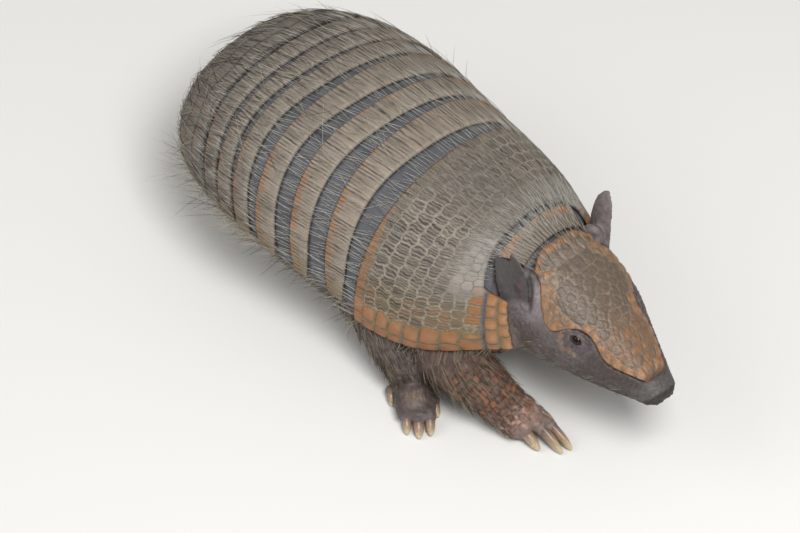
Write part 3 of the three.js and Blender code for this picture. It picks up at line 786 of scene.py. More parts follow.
def head_relief(i, j, x, v):
    centres = head_centres()
    w = v * round_skull(x)
    wx, ww = x + 0.7 * wobble(61, x / 11, w / 11), w + 0.7 * wobble(62, x / 11, w / 11)
    which, edge, la, lb = in_scutes(wx, ww, centres, power=2.4)
    cx = centres[which, 0]
    lucky = np.random.default_rng(63).uniform(0, 1, len(centres))[which]
    hem = centres[which, 4]
    muzzle = ease((mix(cx, x, 0.6) - 46 + 0.2 * np.abs(w)) / 34) * (0.5 + 0.4 * lucky)
    brow = hem * (cx > 38) * (cx < 64)
    rear_row = hem * (cx < 5)
    tint = blend(HORN_OLIVE, HORN_BROWN, 0.2 * lucky) * np.array([1.03, 0.93, 0.95])
    tint = blend(tint, HORN_GREY, 0.1 * (1 - lucky) * ease((40 - cx) / 20))
    heart = mix(0.35, 1.0, ease((edge - 0.5) / 1.6))  # the orange lies in the middle of a scute
    spotted = ease((0.1 - la) / 0.4) * ease((la + 1.0) / 0.2) * ease((lucky - 0.1) / 0.2)
    warm = hem * mix(0.65 + 0.3 * lucky, spotted * 0.9, rear_row) + 0.55 * muzzle + 0.45 * brow
    tint = blend(tint, HORN_TAN, 0.3 * hem)
    tint = blend(tint, ORANGE, np.clip(warm, 0, 0.95) * mix(heart, 1.0, rear_row))
    tint = blend(tint, RED_ORANGE, 0.3 * muzzle * lucky)
    # Painted highlight: a pale spot on each hem scute except those in the rear row.
    painted_highlight = hump(la - 0.1, 0.4) * hump(lb + 0.1, 0.45) * hem * (1 - rear_row)
    tint = blend(tint, HORN_PALE, 0.3 * painted_highlight)
    tint = blend(tint, HORN_DARK, 0.36 * np.clip(wobble(64, x / 7, w / 6), 0, 1) + 0.12)
    tint = blend(tint, HORN_PALE, 0.08 * np.clip(wobble(66, x / 2.3, w / 2.3), 0, 1))
    dashes = ease((0.5 + 0.5 * np.cos(np.pi * 3 * lb) - 0.4) / 0.4) * rear_row * ease((0.75 - la) / 0.5)
    tint = blend(tint, GROOVE, 0.5 * dashes * (1 - 0.6 * spotted))
    worn_edge = np.clip(0.7 + 0.6 * wobble(67, x / 5, w / 5), 0.1, 1)
    tint = blend(tint, HORN_PALE, 0.3 * (1 - ease((edge - 0.1) / 0.5)) * (1 - 0.5 * muzzle) * worn_edge)
    tint = blend(tint, HORN_DARK, 0.4 * (1 - ease(edge / 0.22)))
    height = scute_dome(edge, 0.42 + 0.25 * hem, 1.3) - 0.4 + 0.1 * wobble(65, x / 3, w / 3)
    # On the muzzle the edge thins out into the skin and is darker.
    tip = ease((x - 60) / 30)
    dark_edge = 0.3 * tip * (1 - ease((shield_edge(x) - np.abs(v)) / 6))
    tint = blend(tint, HORN_DARK, 0.55 * ease((x - 96) / 7) + dark_edge)
    return height + round_edges(i, j, 104, 70, mix(1.1, 2.1, tip), mix(1.8, 4.0, tip)), tint


head_shield = plate("head_shield_scutes", 210, 170, shield_spot, head_relief, head_former, SHIELD - 0.3)
print(head_shield.name, triangles(head_shield), "triangles")

# %% [markdown]
# ## One skin
# Trunk, neck, head, ears, legs, toes and tail are first built as closed forms, like lumps of clay pushed into
# each other. They are joined and remeshed with small voxels, which melts them into one skin without a seam.
# The remesh is smoothed, and then the fine things are pressed into it: folds, the mouth, nostrils and lids.
# Under the armour the skin lies deep, and it rises between the wide-set front bands, where it shows.

# %% Trunk and neck
UNDER_PLATE = PLATE + 0.6
BARE_SKIN = 2.2  # how far the skin between the bands lies below them
TOP_SHARE = 0.62  # the part of a ring that lies above the rims
band_gaps = [(scapular_end, held(ACROSS, BAND_EDGES[0][0]))]
band_gaps += [(held(ACROSS, BAND_EDGES[k][1]), held(ACROSS, BAND_EDGES[k + 1][0])) for k in range(5)]
band_gaps += [(held(ACROSS, BAND_EDGES[5][1]), pelvic_front)]


def ring_angle(j, limit, low_from):
    """Angle round a ring for a share j of it: the top part first, then the part below the rims."""
    top = mix(-limit, limit, j / TOP_SHARE)
    low = mix(low_from, 360 - low_from, (j - TOP_SHARE) / (1 - TOP_SHARE))
    return np.where(j < TOP_SHARE, top, low)


def skin_depth(s, v):
    """How far below the hull the skin lies: deep under plates, less in the gaps, tucked in at the flanks."""
    turn = signed(v)
    away = np.abs(turn)
    limit = rim_angle(s)
    depth = np.full(s.shape, UNDER_PLATE)
    for rear, front in band_gaps:
        a = (s - rear(turn)) / (front(turn) - rear(turn))
        inside = ease((a + 0.02) / 0.16) * ease((1.02 - a) / 0.16)
        folds = 0.22 * np.sin(2 * np.pi * (a * 3.2 + 0.25 * wobble(71, v / 24, s * 5)))
        depth = mix(depth, BARE_SKIN + 0.5 + folds, inside)
    nape = ease((s - 0.028) / 0.008) * ease((scapular_front(turn) - 0.001 - s) / 0.006)
    depth = mix(depth, BARE_SKIN, nape * ease((46 - away) / 8))
    # Out of sight, in the middle of a plate, it lies deeper still, clear of the plate's coarse inner face.
    for start, end in ((0.075, 0.255), (0.765, 0.98)):
        middle = ease((s - start) / 0.02) * ease((end - s) / 0.02)
        depth = depth + 2.2 * middle * ease((limit - 6 - away) / 6)
    below = ease((away - limit - 1.5) / 4)
    tucked = mix(FLANK_TUCK, 0.5, ease((away - limit - 6) / 50))
    creases = 0.5 * wobble(72, v / 16, s * 7) + 0.3 * wobble(73, v / 6, s * 22)
    return mix(depth, tucked + 0.4 + creases, below)


def leaning(s, v):
    """The rings of the trunk lean forward at the chest."""
    lean = held([0.03, 0.06, 0.1, 0.18], [0.05, 0.045, 0.03, 0.0])(s)
    return s + lean * ease((np.abs(signed(v)) - 70) / 80)


def trunk_lay(i, j):
    s = mix(0.03, 1.0, i)
    v = ring_angle(j, rim_angle(s), rim_angle(s) + 6)
    s = leaning(s, v)
    return hull(s, v, -skin_depth(s, v))


def head_ring(x, j, inset):
    """One ring round the head. Toward the neck its lower half lies further forward, as the throat does."""
    v = ring_angle(j, 92, 104)
    slant = THROAT_SLANT * ease((np.abs(signed(v)) - 55) / 90) * np.maximum(0, 1 - (x - NECK_X) / 60)
    return from_head(skull(x + slant, v, -np.asarray(inset, float)))


def neck_lay(i, j):
    chest_v = ring_angle(j, rim_angle(0.03), rim_angle(0.03) + 6)
    chest = hull(leaning(0.03, chest_v), chest_v, -UNDER_PLATE) + [-3.0, 0, 0]
    nape_v = np.abs(ring_angle(j, 92, 104) * (j < TOP_SHARE))
    open_side = ease((nape_v - 42) / 14) + (j >= TOP_SHARE)
    nape = head_ring(np.full(j.shape, NECK_X + 5.0), j, mix(SHIELD + 0.8, 0.6, np.clip(open_side, 0, 1)))
    arch = (4 * i * (1 - i))[:, None]
    on_top = (j <= TOP_SHARE)[:, None]
    line = mix(chest, nape, i[:, None])
    line[:, 1] = mix(chest[:, 1], nape[:, 1], 1 - (1 - i) ** 2.2)
    wrinkles = 0.55 * np.sin(2 * np.pi * (i * 5.5 + 0.5 * wobble(74, j * 5, i * 2)))[:, None] * arch
    line = line + arch * np.where(on_top, [0, 0, -1.8], [5, 0, -6])
    return line + wrinkles * np.where(on_top, [0, 0, 1], [1, 0, -1])


def head_lay(i, j):
    x = mix(NECK_X, 118.0, 1 - (1 - i) ** 1.25)
    v = ring_angle(j, 92, 104)
    covered = ease((shield_edge(x) - np.abs(signed(v))) / 3 + 0.4) * ease((SHIELD_FRONT - x) / 2 + 0.4)
    return head_ring(x, j, mix(0.3, SHIELD + 0.7, covered))


clay = [tube("trunk_clay", 170, 210, trunk_lay), tube("neck_clay", 16, 120, neck_lay),
        tube("head_clay", 90, 150, head_lay)]
print("clay so far:", [c.name for c in clay])

# %% [markdown]
# ### Ears, legs and tail
# An ear is a cupped leaf: rolled at its root, open above. A leg is a row of ellipses threaded on a bent path,
# and so are the toes and the tail. The paths are the CAD model's own.

# %% Ears
EAR = {"x": 5, "y": 36, "z": -25, "length": 50, "half": 11.8, "wall": 2.2}
EAR_FACING = {"left": 78, "right": 66}
EAR_LEAN = {"left": (-1.5, 11, 42), "right": (-11, -4.5, 42)}
ear_half = held([0, 0.2, 0.5, 0.8, 0.93, 1], [7, 10.4, EAR["half"], 9.2, 5.8, 2.0])
ear_cup = held([0, 0.35, 1], [80, 40, 26])


def ear_bend(share):
    """The radius to which a leaf of that width is rolled."""
    return ear_half(share) / np.sin(np.minimum(np.radians(ear_cup(share)), math.pi / 2))


def ear_frame(side_name):
    """Root of an ear, with the directions along it, across it and out of its open face."""
    side = 1 if side_name == "left" else -1
    root = from_head(np.array([EAR["x"], side * EAR["y"], EAR["z"]], float))
    up = unit(EAR_LEAN[side_name])
    facing = math.radians(EAR_FACING[side_name])
    face = np.array([math.cos(facing), side * math.sin(facing), 0])
    face = unit(face - up * face.dot(up))
    return root, up, np.cross(up, face), face


def ear_place(points, side_name):
    """Place beside an ear, in mm: up the leaf, out past its near edge, toward its front, into its cup."""
    root, up, across, face = ear_frame(side_name)
    q = points - root
    rise, a = q @ up, q @ across
    share = np.clip((rise + 9) / (EAR["length"] + 3), 0, 1)
    middle = ear_bend(share) * 0.8 - np.sqrt(np.maximum((ear_bend(share) - EAR["wall"] / 2) ** 2 - a**2, 0))
    return rise, np.abs(a) - ear_half(share), a, q @ face - middle


def ear_lay(side_name):
    root, up, across, face = ear_frame(side_name)

    def lay(i, j):
        inside = j >= 0.5
        k = np.where(inside, 2 - 2 * j, 2 * j) * 2 - 1  # across the leaf and back again inside it
        cup = np.radians(ear_cup(i)) * k
        bend = ear_bend(i)
        wall = EAR["wall"] * (1 - 0.25 * np.abs(k) ** 3) * mix(1.1, 0.85, i)
        r = bend - np.where(inside, wall, 0)
        rise = mix(-9, EAR["length"] - 6, i) + 0.5 * np.where(inside, 1, 0) * np.sin(i * 9) * (1 - np.abs(k))
        return (root + rise[:, None] * up + (r * np.sin(cup))[:, None] * across
                + (bend * 0.8 - r * np.cos(cup))[:, None] * face)

    return lay


clay += [tube(f"ear_clay_{n}", 44, 72, ear_lay(n)) for n in EAR_LEAN]
print("ears added")

# %% Legs, toes and tail
TAIL = [[-280, 0, 74, 19, 19], [-297, 0, 62, 17, 17], [-309, 3, 46, 14.5, 14.5],
        [-313, 12, 31, 12.6, 12.6], [-309, 30, 19.5, 11, 11], [-299, 54, 13.5, 9.5, 9.5],
        [-287, 80, 10.5, 8, 8], [-272, 104, 8.6, 6.4, 6.4], [-256, 124, 7, 4.4, 4.4]]
FRONT_LEG = [[-50, -42, 86, 18, 34], [-41, -52, 60, 22, 35], [-27, -58, 45, 21, 30], [-10, -57, 36, 19, 21],
             [5, -54, 28, 17, 16], [17, -50, 18, 16, 12], [27, -46, 11, 15.5, 12.5], [35, -43, 8.5, 12, 9]]
FRONT_HEART = [18, -48, 12]
LEFT_FRONT_STEP = -30
FRONT_CLAWS = [[[27, -32, 9], [40, -28, 1], 2.5, 2.9], [[41, -37, 11], [64, -37, 1], 3.2, 3.8],
               [[38.5, -43.5, 11.5], [61.4, -44, 1], 3.3, 4], [[26, -51.6, 11.5], [48.5, -52.6, 1], 3.9, 4],
               [[11.4, -58.8, 9.5], [25.5, -58.8, 1], 3.1, 3.4]]
HIND_LEG = [[-146, -50, 92, 26, 32], [-118, -57, 70, 26, 28], [-92, -66, 50, 20, 21],
            [-70, -71, 34, 17, 17.5], [-56, -71, 21, 17, 15.5], [-56, -69, 10, 14, 10]]
LEFT_HIND_LEG = [[-206, 50, 94, 26, 34], [-214, 57, 72, 26, 30], [-228, 65, 52, 21, 23],
                 [-240, 70, 35, 17.5, 18], [-241, 71, 21, 17, 15.5], [-242, 69, 10, 14, 10]]
HIND_SOLE = [[-72, -52, 9, 8, 8], [-63, -61, 9.5, 11.5, 11], [-49, -74, 9.5, 13, 11.5],
             [-37, -85, 9, 14.5, 11], [-28, -93, 8, 13, 8.5]]
HIND_HEART = [-46, -77, 9]
LEFT_HIND_STEP = -186
HIND_CLAWS = [[[-31, -73, 6.5], [-21, -79, 1], 2.8, 2.5], [[-22.5, -86, 8], [-13.4, -94.1, 1], 3.3, 2.9],
              [[-26.5, -93, 8], [-17.3, -101.4, 1], 3.5, 3],
              [[-34.5, -96.4, 7.5], [-25.7, -104.5, 1], 3.2, 2.8],
              [[-59, -86.5, 6.5], [-50.8, -94, 1], 2.6, 2.4]]


def mirrored(row, step):
    return [row[0] + step, -row[1], *row[2:]]


def left_leg(paths, claws, heart, step):
    """The same leg on the other side, moved along the body by the stride."""
    return {"paths": [[mirrored(row, step) for row in path] for path in paths],
            "claws": [[mirrored(root, step), mirrored(tip, step), *size] for root, tip, *size in claws],
            "heart": mirrored(heart, step)}


LEGS = {
    "front_right": {"paths": [FRONT_LEG], "claws": FRONT_CLAWS, "heart": FRONT_HEART},
    "front_left": left_leg([FRONT_LEG], FRONT_CLAWS, FRONT_HEART, LEFT_FRONT_STEP),
    "hind_right": {"paths": [HIND_LEG, HIND_SOLE], "claws": HIND_CLAWS, "heart": HIND_HEART},
    "hind_left": left_leg([HIND_SOLE], HIND_CLAWS, HIND_HEART, LEFT_HIND_STEP),
}
LEGS["hind_left"]["paths"].insert(0, LEFT_HIND_LEG)


def limb_path(stations):
    return through(np.linspace(0, 1, len(stations)), stations)


def square_to(along):
    """For directions along a path: the level way across it, and the way square to both."""
    side = unit(np.array([0, 1.0, 0]) - along * along[:, 1:2])
    return side, np.cross(side, along)


def threaded(stations, relief=None):
    """A rule for a tube of ellipses on a smooth path, each square to it."""
    path = limb_path(stations)

    def lay(i, j):
        here = path(i)
        side, up = square_to(unit((path(np.minimum(i + 0.01, 1.0)) - path(np.maximum(i - 0.01, 0.0)))[:, :3]))
        w = 2 * np.pi * j
        swell = relief(i, j)[:, None] if relief else 0.0
        return (here[:, :3] + side * ((here[:, 3:4] + swell) * np.cos(w)[:, None])
                + up * ((here[:, 4:5] + swell) * np.sin(w)[:, None]))

    return lay


def toward(a, b, t):
    return [x + (y - x) * t for x, y in zip(a, b)]


def toe_path(claw, heart):
    """A toe runs from the heart of the foot over a knuckle to a fleshy cuff round the root of its claw."""
    root, tip, wide, deep = claw
    knuckle = toward(heart, root, 0.62)
    knuckle[2] += 1.2
    spine = [heart, knuckle, toward(heart, root, 0.88)] + [toward(root, tip, t) for t in (0.08, 0.2, 0.29)]
    flesh = ((2.4, 2.0), (2.2, 1.9), (1.5, 1.1), (1.7, 1.5), (1.3, 1.3), (0.5, 0.6))
    return [[*spot, wide + a, deep + b] for spot, (a, b) in zip(spine, flesh)]


for leg, parts in LEGS.items():
    for k, path in enumerate(parts["paths"]):
        clay.append(tube(f"leg_clay_{leg}_{k}", 40, 48, threaded(path)))
    for k, claw in enumerate(parts["claws"]):
        clay.append(tube(f"toe_clay_{leg}_{k}", 12, 18, threaded(toe_path(claw, parts["heart"]))))


TAIL_RINGS = 24


def tail_rings(i, j):
    """The tail's horny rings, each a low step."""
    ring = (i * TAIL_RINGS) % 1.0
    step = ease(ring / 0.75) * (1 - ease((ring - 0.82) / 0.18))
    return 0.45 * step * (0.8 + 0.2 * np.cos(2 * np.pi * j * 12))


def ear_root(side):
    """A low cushion under each ear, which fills the hollow between the ear, the neck and the cheek."""
    spine = [[1, 29, -1, 2.5, 3], [1, 29.5, -8, 6, 8], [2, 29.5, -20, 7, 11],
             [3, 30, -32, 6.5, 10], [3, 30, -42, 3, 4]]
    return [[*from_head(np.array([x, side * y, z], float)), wide, deep] for x, y, z, wide, deep in spine]


clay += [tube(f"ear_root_clay_{side}", 16, 30, threaded(ear_root(side))) for side in (-1, 1)]
clay.append(tube("tail_clay", 180, 72, threaded(TAIL, tail_rings)))
print(len(clay), "lumps of clay,", sum(triangles(c) for c in clay), "triangles")

# %% [markdown]
# ### Melting the clay into one skin
# The voxel remesh is finer than the skin's own folds. Smoothing takes the stair steps off. The soles are
# pressed flat on the floor, as the weight of the animal presses them.

# %% Remesh
VOXEL_MM = 1.15


def apply(piece, kind, **settings):
    only(piece)
    modifier = piece.modifiers.new(kind.lower(), kind)
    for key, value in settings.items():
        setattr(modifier, key, value)
    bpy.ops.object.modifier_apply(modifier=modifier.name)
    return piece


skin = joined("skin", clay)
apply(skin, "REMESH", mode="VOXEL", voxel_size=VOXEL_MM * MM, use_smooth_shade=True)
apply(skin, "SMOOTH", factor=0.5, iterations=3)


def round_the_ears(points):
    """1 on the fold of skin round the root of each ear, where it meets the neck and the cheek."""
    h = into_head(points)
    share = ease((h[:, 0] + 8) / 6) * ease((32 - h[:, 0]) / 8) * ease((np.abs(h[:, 1]) - 22) / 6)
    share = share * ease((-4 - h[:, 2]) / 6) * ease((h[:, 2] + 66) / 10)
    for name in EAR_LEAN:
        rise, beyond, a, into = ear_place(points, name)
        above = ease((rise - np.where(a > 3, 12, 1)) / 5)
        share = share * (1 - above * ease((3 - beyond) / 2) * ease((6 - np.abs(into)) / 2))
    return share


def weigh(piece, name, share):
    """Keep a share from 0 to 1 for each vertex in a vertex group, in quarters."""
    group = piece.vertex_groups.new(name=name)
    for level in range(1, 5):
        group.add(np.flatnonzero((share * 4).round().astype(int) == level).tolist(), level / 4, "REPLACE")


weigh(skin, "round_ears", round_the_ears(in_mm(skin)))
apply(skin, "SMOOTH", factor=0.5, iterations=140, vertex_group="round_ears")


def under_armour(points):
    """Press down whatever bulges up into the plates, such as the tops of the legs."""
    upper = np.flatnonzero((points[:, 2] > 48) & (points[:, 0] < 16) & (points[:, 0] > -303))
    s, v, height = onto_hull(points[upper])
    limit = rim_angle(s)
    free = np.abs(v) > limit + 3
    ceiling = -skin_depth(s, np.where(np.abs(v) < limit, v, np.sign(v) * limit)) + 0.2
    ceiling = ceiling + 9 * ease((np.abs(v) - limit) / 6) ** 1.5
    ear = np.zeros(len(upper), bool)
    for name in EAR_LEAN:
        rise, beyond, _, into = ear_place(points[upper], name)
        ear |= (rise > -4) & (beyond < 2.5) & (np.abs(into) < 6)
    free = free | (ear & (np.abs(v) > 30) & (s < scapular_front(v) - 0.001))
    over = np.flatnonzero((height > ceiling) & ~free & (s > 0.012) & (s < 0.995) & (height < 26))
    pressed = points.copy()
    pressed[upper[over]] = hull(s[over], v[over], ceiling[over])
    return pressed


put(skin, kept_above(0.0, under_armour(in_mm(skin))))
print("skin:", len(skin.data.vertices), "vertices,", triangles(skin), "triangles")

# %% [markdown]
# ### Where is each point of the skin?
# Folds and colours depend on the part of the body. For a point near a limb, `beside` gives its share along
# the limb's path, the angle round it and how far out it lies. `regions` collects these for the whole skin, so
# that the same rules place the folds and the colours.

# %% Regions of the skin
EYE = {"x": 53.0, "y": 25.4, "z": -14.5, "r": 4.5}


def eye_axis(side):
    """Centre of an eye in the head's axes, and the way it looks."""
    return np.array([EYE["x"], side * EYE["y"], EYE["z"]]), unit((-0.1, side * 0.86, 0.5))


def beside(points, stations):
    """Share along a limb's path, angle round it in degrees, and distance out in radii."""
    t = np.linspace(0, 1, 160)
    spine = limb_path(stations)(t)
    k = np.empty(len(points), int)
    for start in range(0, len(points), 20000):
        part = points[start:start + 20000]
        k[start:start + 20000] = ((part[:, None] - spine[None, :, :3]) ** 2).sum(-1).argmin(1)
    along = unit(np.gradient(spine[:, :3], axis=0))
    side, up = square_to(along)
    q = points - spine[k, :3]
    across, above = (q * side[k]).sum(1), (q * up[k]).sum(1)
    step = np.linalg.norm(np.diff(spine[:, :3], axis=0), axis=1).mean()
    share = t[k] + (q * along[k]).sum(1) / (step * len(t))
    out = np.hypot(across / spine[k, 3], above / spine[k, 4])
    return share, np.degrees(np.arctan2(above, across)), out


def eye_place(points, side):
    """Place beside an eye, in mm: forward, upward and outward from its centre."""
    centre, out = eye_axis(side)
    ahead = np.array([1.0, -side * 0.32, -0.2])
    forward = unit(ahead - out * ahead.dot(out))
    upward = np.cross(out, forward)
    upward = upward if upward[2] > 0 else -upward
    q = into_head(points) - centre
    return q @ forward, q @ upward, q @ out


def crease(depth, width, field):
    """A thin fold wherever a smooth field passes through zero."""
    return -depth * hump(field, width)


def regions(points):
    """Soft shares of 0 to 1 for the parts of the body, with the places along and round each limb."""
    h, (px, _, pz) = into_head(points), points.T
    rim_z = np.interp(px, [r[0] for r in RIM[::-1]], [r[1] for r in RIM[::-1]])
    r = {"h": h, "s": np.full(len(points), -1.0), "v": np.full(len(points), 180.0)}
    upper = np.flatnonzero((pz > 48) & (px < 14) & (px > -303))
    r["s"][upper], r["v"][upper], _ = onto_hull(points[upper], 4)
    inside_head = ease((h[:, 2] + 98) / 4) * ease((14 - h[:, 2]) / 3) * ease((46 - np.abs(h[:, 1])) / 3)
    r["head"] = ease((h[:, 0] - 2) / 8) * inside_head
    r["neck"] = ease((px - 2) / 6) * ease((pz - 46) / 4) * (1 - r["head"])
    r["top"] = ease((rim_angle(r["s"]) + 3 - np.abs(r["v"])) / 4) * (1 - r["head"]) * (1 - r["neck"])
    r["ear"] = np.zeros(len(points))
    for name in EAR_LEAN:
        root, up, across, face = ear_frame(name)
        q = points - root
        rise = q @ up
        spread = np.hypot(q @ across, (q @ face - 4) / 1.4)
        mine = ease((rise + 2) / 4) * ease((16 - spread) / 2) * ease((52 - rise) / 3)
        r["ear"] = np.maximum(r["ear"], mine)
        rise, beyond, a, _ = ear_place(points, name)
        near = ease((rise + 8) / 6) * ease((44 - rise) / 6) * ease((13 - np.abs(q @ face - 1)) / 4)
        rear = np.where(a < 0, 1.0, 0.9 * ease((26 - rise) / 8))
        # A strip just past the ear's edge: pressed in below as a groove, and painted near-black as shadow.
        r["ear_gap_" + name] = near * rear * hump(beyond - 1.5, 1.25)
    for name, parts in LEGS.items():
        share, angle, out = beside(points, parts["paths"][0])
        near = ease((1.55 - out) / 0.25) * ease((share + 0.1) / 0.2) * ease((rim_z + 4 - pz) / 8)
        foot = np.linalg.norm((points - parts["heart"]) * [1, 1, 1.6], axis=1)
        r[name] = np.maximum(near, ease((42 - foot) / 6) * ease((20 - pz) / 4))
        r[name + "_at"] = (share, angle if name.endswith("right") else 180 - angle, foot)
    share, angle, out = beside(points, TAIL)
    behind = -285 - px + 40 * ease((60 - pz) / 30)
    r["tail"] = ease((1.5 - out) / 0.3) * ease(behind / 4)
    r["tail_at"] = (share, angle)
    return r


# %% [markdown]
# ### Folds, lids, mouth and scales
# Near the eyes, the nose and the feet the mesh is first made twice as fine. Then every vertex is moved by the
# rules of its region: lids wrap the eyeball and leave an almond-shaped opening, a furrow marks the mouth, two
# pits are the nostrils, and fine creases cross the neck, cheeks and toes. The front of the forearm carries
# transverse rows of small domed scales.

# %% Finer mesh where the detail is finest
def finer_near(piece, spots, reach):
    edit(piece)
    bpy.ops.mesh.select_all(action="DESELECT")
    mesh = bmesh.from_edit_mesh(piece.data)
    for face in mesh.faces:
        c = np.array(face.calc_center_median()) / MM + FLOOR_MIDDLE
        if any(np.linalg.norm(c - spot) < reach for spot in spots):
            face.select = True
    bmesh.update_edit_mesh(piece.data)
    bpy.ops.mesh.subdivide(number_cuts=1, smoothness=0.0)
    return done()


fine_spots = [from_head(spot) for spot in (eye_axis(-1)[0], eye_axis(1)[0], np.array([113.0, 0.0, -20.0]))]
skin = finer_near(skin, fine_spots, 13.0)
print("skin after refining:", triangles(skin), "triangles")

# %% Move the vertices
OPENING = {"half_length": 4.1, "half_height": 2.35, "tilt": 0.12}
LID = 5.25
ARM_ROW, ARM_PITCH = 4.4, 21.0  # mm along the arm and degrees round it, per scale
ARM_FRONT = 235  # the angle of the forearm's front


def lid_edge(a, b):
    """Distance outside (+) or inside (-) the opening of the lids."""
    half = OPENING["half_height"] * np.sqrt(np.clip(1 - (a / OPENING["half_length"]) ** 2, 0, 1))
    beyond = np.maximum(np.abs(a) - OPENING["half_length"], 0)
    b = b - OPENING["tilt"] * a
    return np.where(beyond > 0, np.hypot(beyond, b), np.abs(b) - half)


def with_lids(points):
    points = points.copy()
    for side in (-1, 1):
        centre, _ = eye_axis(side)
        a, b, c = eye_place(points, side)
        close = np.flatnonzero((np.hypot(a, b) < 11) & (c > -3))
        a, b = a[close], b[close]
        q = into_head(points[close]) - centre
        r = np.linalg.norm(q, axis=1)
        edge = lid_edge(a, b)
        folds = 0.22 * np.cos(2 * np.pi * edge / 2.1) * ease(edge / 1.2) * ease((8 - edge) / 4)
        lid = LID + 0.35 * hump(edge - 0.5, 0.6) + folds
        held_on = ease((9.5 - np.hypot(a, b)) / 4.5)
        target = mix(r, np.where(r > lid, np.minimum(r, lid + 0.35 * (r - lid)), lid), held_on)
        target = mix(target, 3.8, ease(0.5 - edge / 0.7))
        points[close] = from_head(centre + q / r[:, None] * target[:, None])
    return points


def arm_scales(share, angle, length):
    """Rows of scales across the front of the forearm: edge distance, and which scale."""
    centres = []
    draw = np.random.default_rng(31)
    for row in range(4, 31):
        for k in range(-7, 8):
            spot = [row * ARM_ROW + draw.uniform(-0.6, 0.6),
                    ARM_FRONT + (k + 0.5 * (row % 2)) * ARM_PITCH + draw.uniform(-3, 3)]
            centres.append(spot + [2.0 * draw.uniform(0.85, 1.1), 10.5 * draw.uniform(0.8, 1.1)])
    return in_scutes(share * length, angle % 360, np.array(centres), 1.0, 0.28, power=2.6)


def path_length(stations):
    spots = limb_path(stations)(np.linspace(0, 1, 200))[:, :3]
    return float(np.linalg.norm(np.diff(spots, axis=0), axis=1).sum())


def arm_cover(share, angle):
    """Where the forearm carries scales: its front and outer side, from above the elbow to the wrist."""
    turn = np.abs((angle - ARM_FRONT + 180) % 360 - 180)
    return ease((share - 0.3) / 0.12) * ease((0.9 - share) / 0.08) * ease((105 - turn) / 25)


def relief_of(points, r):
    """Height of the skin's own relief at each point."""
    h = r["h"]
    x, y, z = h.T
    height = crease(0.32, 0.2, wobble(41, *(points / 9).T)) * (1 - r["top"])
    height += crease(0.22, 0.2, wobble(42, *(points / 4.5).T)) * (1 - r["top"])
    face = r["head"] * (1 - r["ear"])
    height += face * crease(0.3, 0.25, wobble(43, x / 3.4, z / 9, y / 12))
    cheek = face * ease((78 - x) / 12) * ease((-22 - z) / 10)
    height += cheek * crease(0.4, 0.28, wobble(44, x / 4.5, z / 14))
    snout = face * ease((x - 66) / 8) * ease((112 - x) / 6)
    height += snout * crease(0.4, 0.3, np.sin(2 * np.pi * (x / 3.4 + 0.35 * wobble(45, x / 9, z / 7))) + 0.55)
    height += face * crease(0.35, 0.3, wobble(49, x / 5, z / 3.2)) * ease((x - 40) / 10) * ease((-12 - z) / 4)
    mouth_z = -23.6 - 0.36 * (112 - x)
    height -= 1.3 * face * hump(z - mouth_z, 0.95) * ease((x - 60) / 6) * ease((117 - x) / 3)
    height += 0.5 * face * hump(z - mouth_z - 2.4, 1.3) * ease((x - 62) / 6)
    for side in (-1, 1):
        pit = np.linalg.norm((h - [116.2, side * 4.6, -19.0]) / [2.6, 1.7, 1.5], axis=1)
        height += -2.2 * np.exp(-pit**4) + 0.5 * hump(pit - 1.45, 0.4)
    height -= 0.5 * face * hump(y, 0.7) * ease((x - 112) / 2) * ease((-12 - z) / 3)
    folds = wobble(46, x / 5.0, (z + 0.8 * x) / 16, y / 16)
    height += r["neck"] * (1 - r["ear"]) * crease(0.6, 0.28, folds)
    for name in EAR_LEAN:
        height -= 1.2 * r["ear_gap_" + name]
    for name in LEGS:
        share, angle, foot = r[name + "_at"]
        mine, length = r[name], path_length(LEGS[name]["paths"][0])
        rings = np.sin(2 * np.pi * (share * length / 5.6 + 0.3 * wobble(47, share * 14, angle / 60)))
        height += mine * 0.28 * rings * ease((foot - 20) / 8)
        toes = np.sin(2 * np.pi * (foot / 2.7 + 0.12 * wobble(48, *(points / 6).T)))
        height += mine * crease(0.34, 0.4, toes + 0.6) * ease((foot - 8) / 6) * ease((36 - foot) / 5)
        if name.startswith("front"):
            cover = mine * arm_cover(share, angle)
            on = np.flatnonzero(cover > 0.01)
            _, edge, _, _ = arm_scales(share[on], angle[on], length)
            height[on] += cover[on] * (scute_dome(edge, 0.6, 0.7) - 0.25)
    return height


def normals_of(piece):
    n = np.empty(len(piece.data.vertices) * 3)
    piece.data.vertices.foreach_get("normal", n)
    return n.reshape(-1, 3)


spots = with_lids(in_mm(skin))
put(skin, spots)
put(skin, kept_above(0.0, spots + normals_of(skin) * relief_of(spots, regions(spots))[:, None]))
print("relief pressed in")

# %% [markdown]
# ### Fewer faces under the armour
# Nobody sees the skin under the plates, so a vertex group first lets the Decimate modifier take faces there.
# A second turn takes them where forms are broad, such as the belly. A vertex of weight 0 is never touched, so
# the head, neck, ears and front legs keep all of their faces.

# %% Decimate
def hidden_share(points):
    """1 well under the armour, 0 in the open."""
    r = regions(points)
    s, v = r["s"], r["v"]
    covered = ease((rim_angle(s) - 5 - np.abs(v)) / 4) * ease((s - 0.08) / 0.01) * ease((0.97 - s) / 0.01)
    for rear, front in band_gaps:
        covered = covered * (1 - ease((s - rear(v) + 0.02) / 0.008) * ease((front(v) + 0.02 - s) / 0.008))
    under_shield = r["head"] * ease((r["h"][:, 2] + 6) / 3)
    return np.maximum(covered * (1 - r["head"]) * (1 - r["ear"]), under_shield)


def broad_share(points):
    """1 where forms are broad, 0 on the head, neck, ears and front legs."""
    r = regions(points)
    fine = [r["head"], r["neck"], r["ear"]] + [r[name] for name in LEGS if "front" in name]
    return 1 - np.max(fine, axis=0)


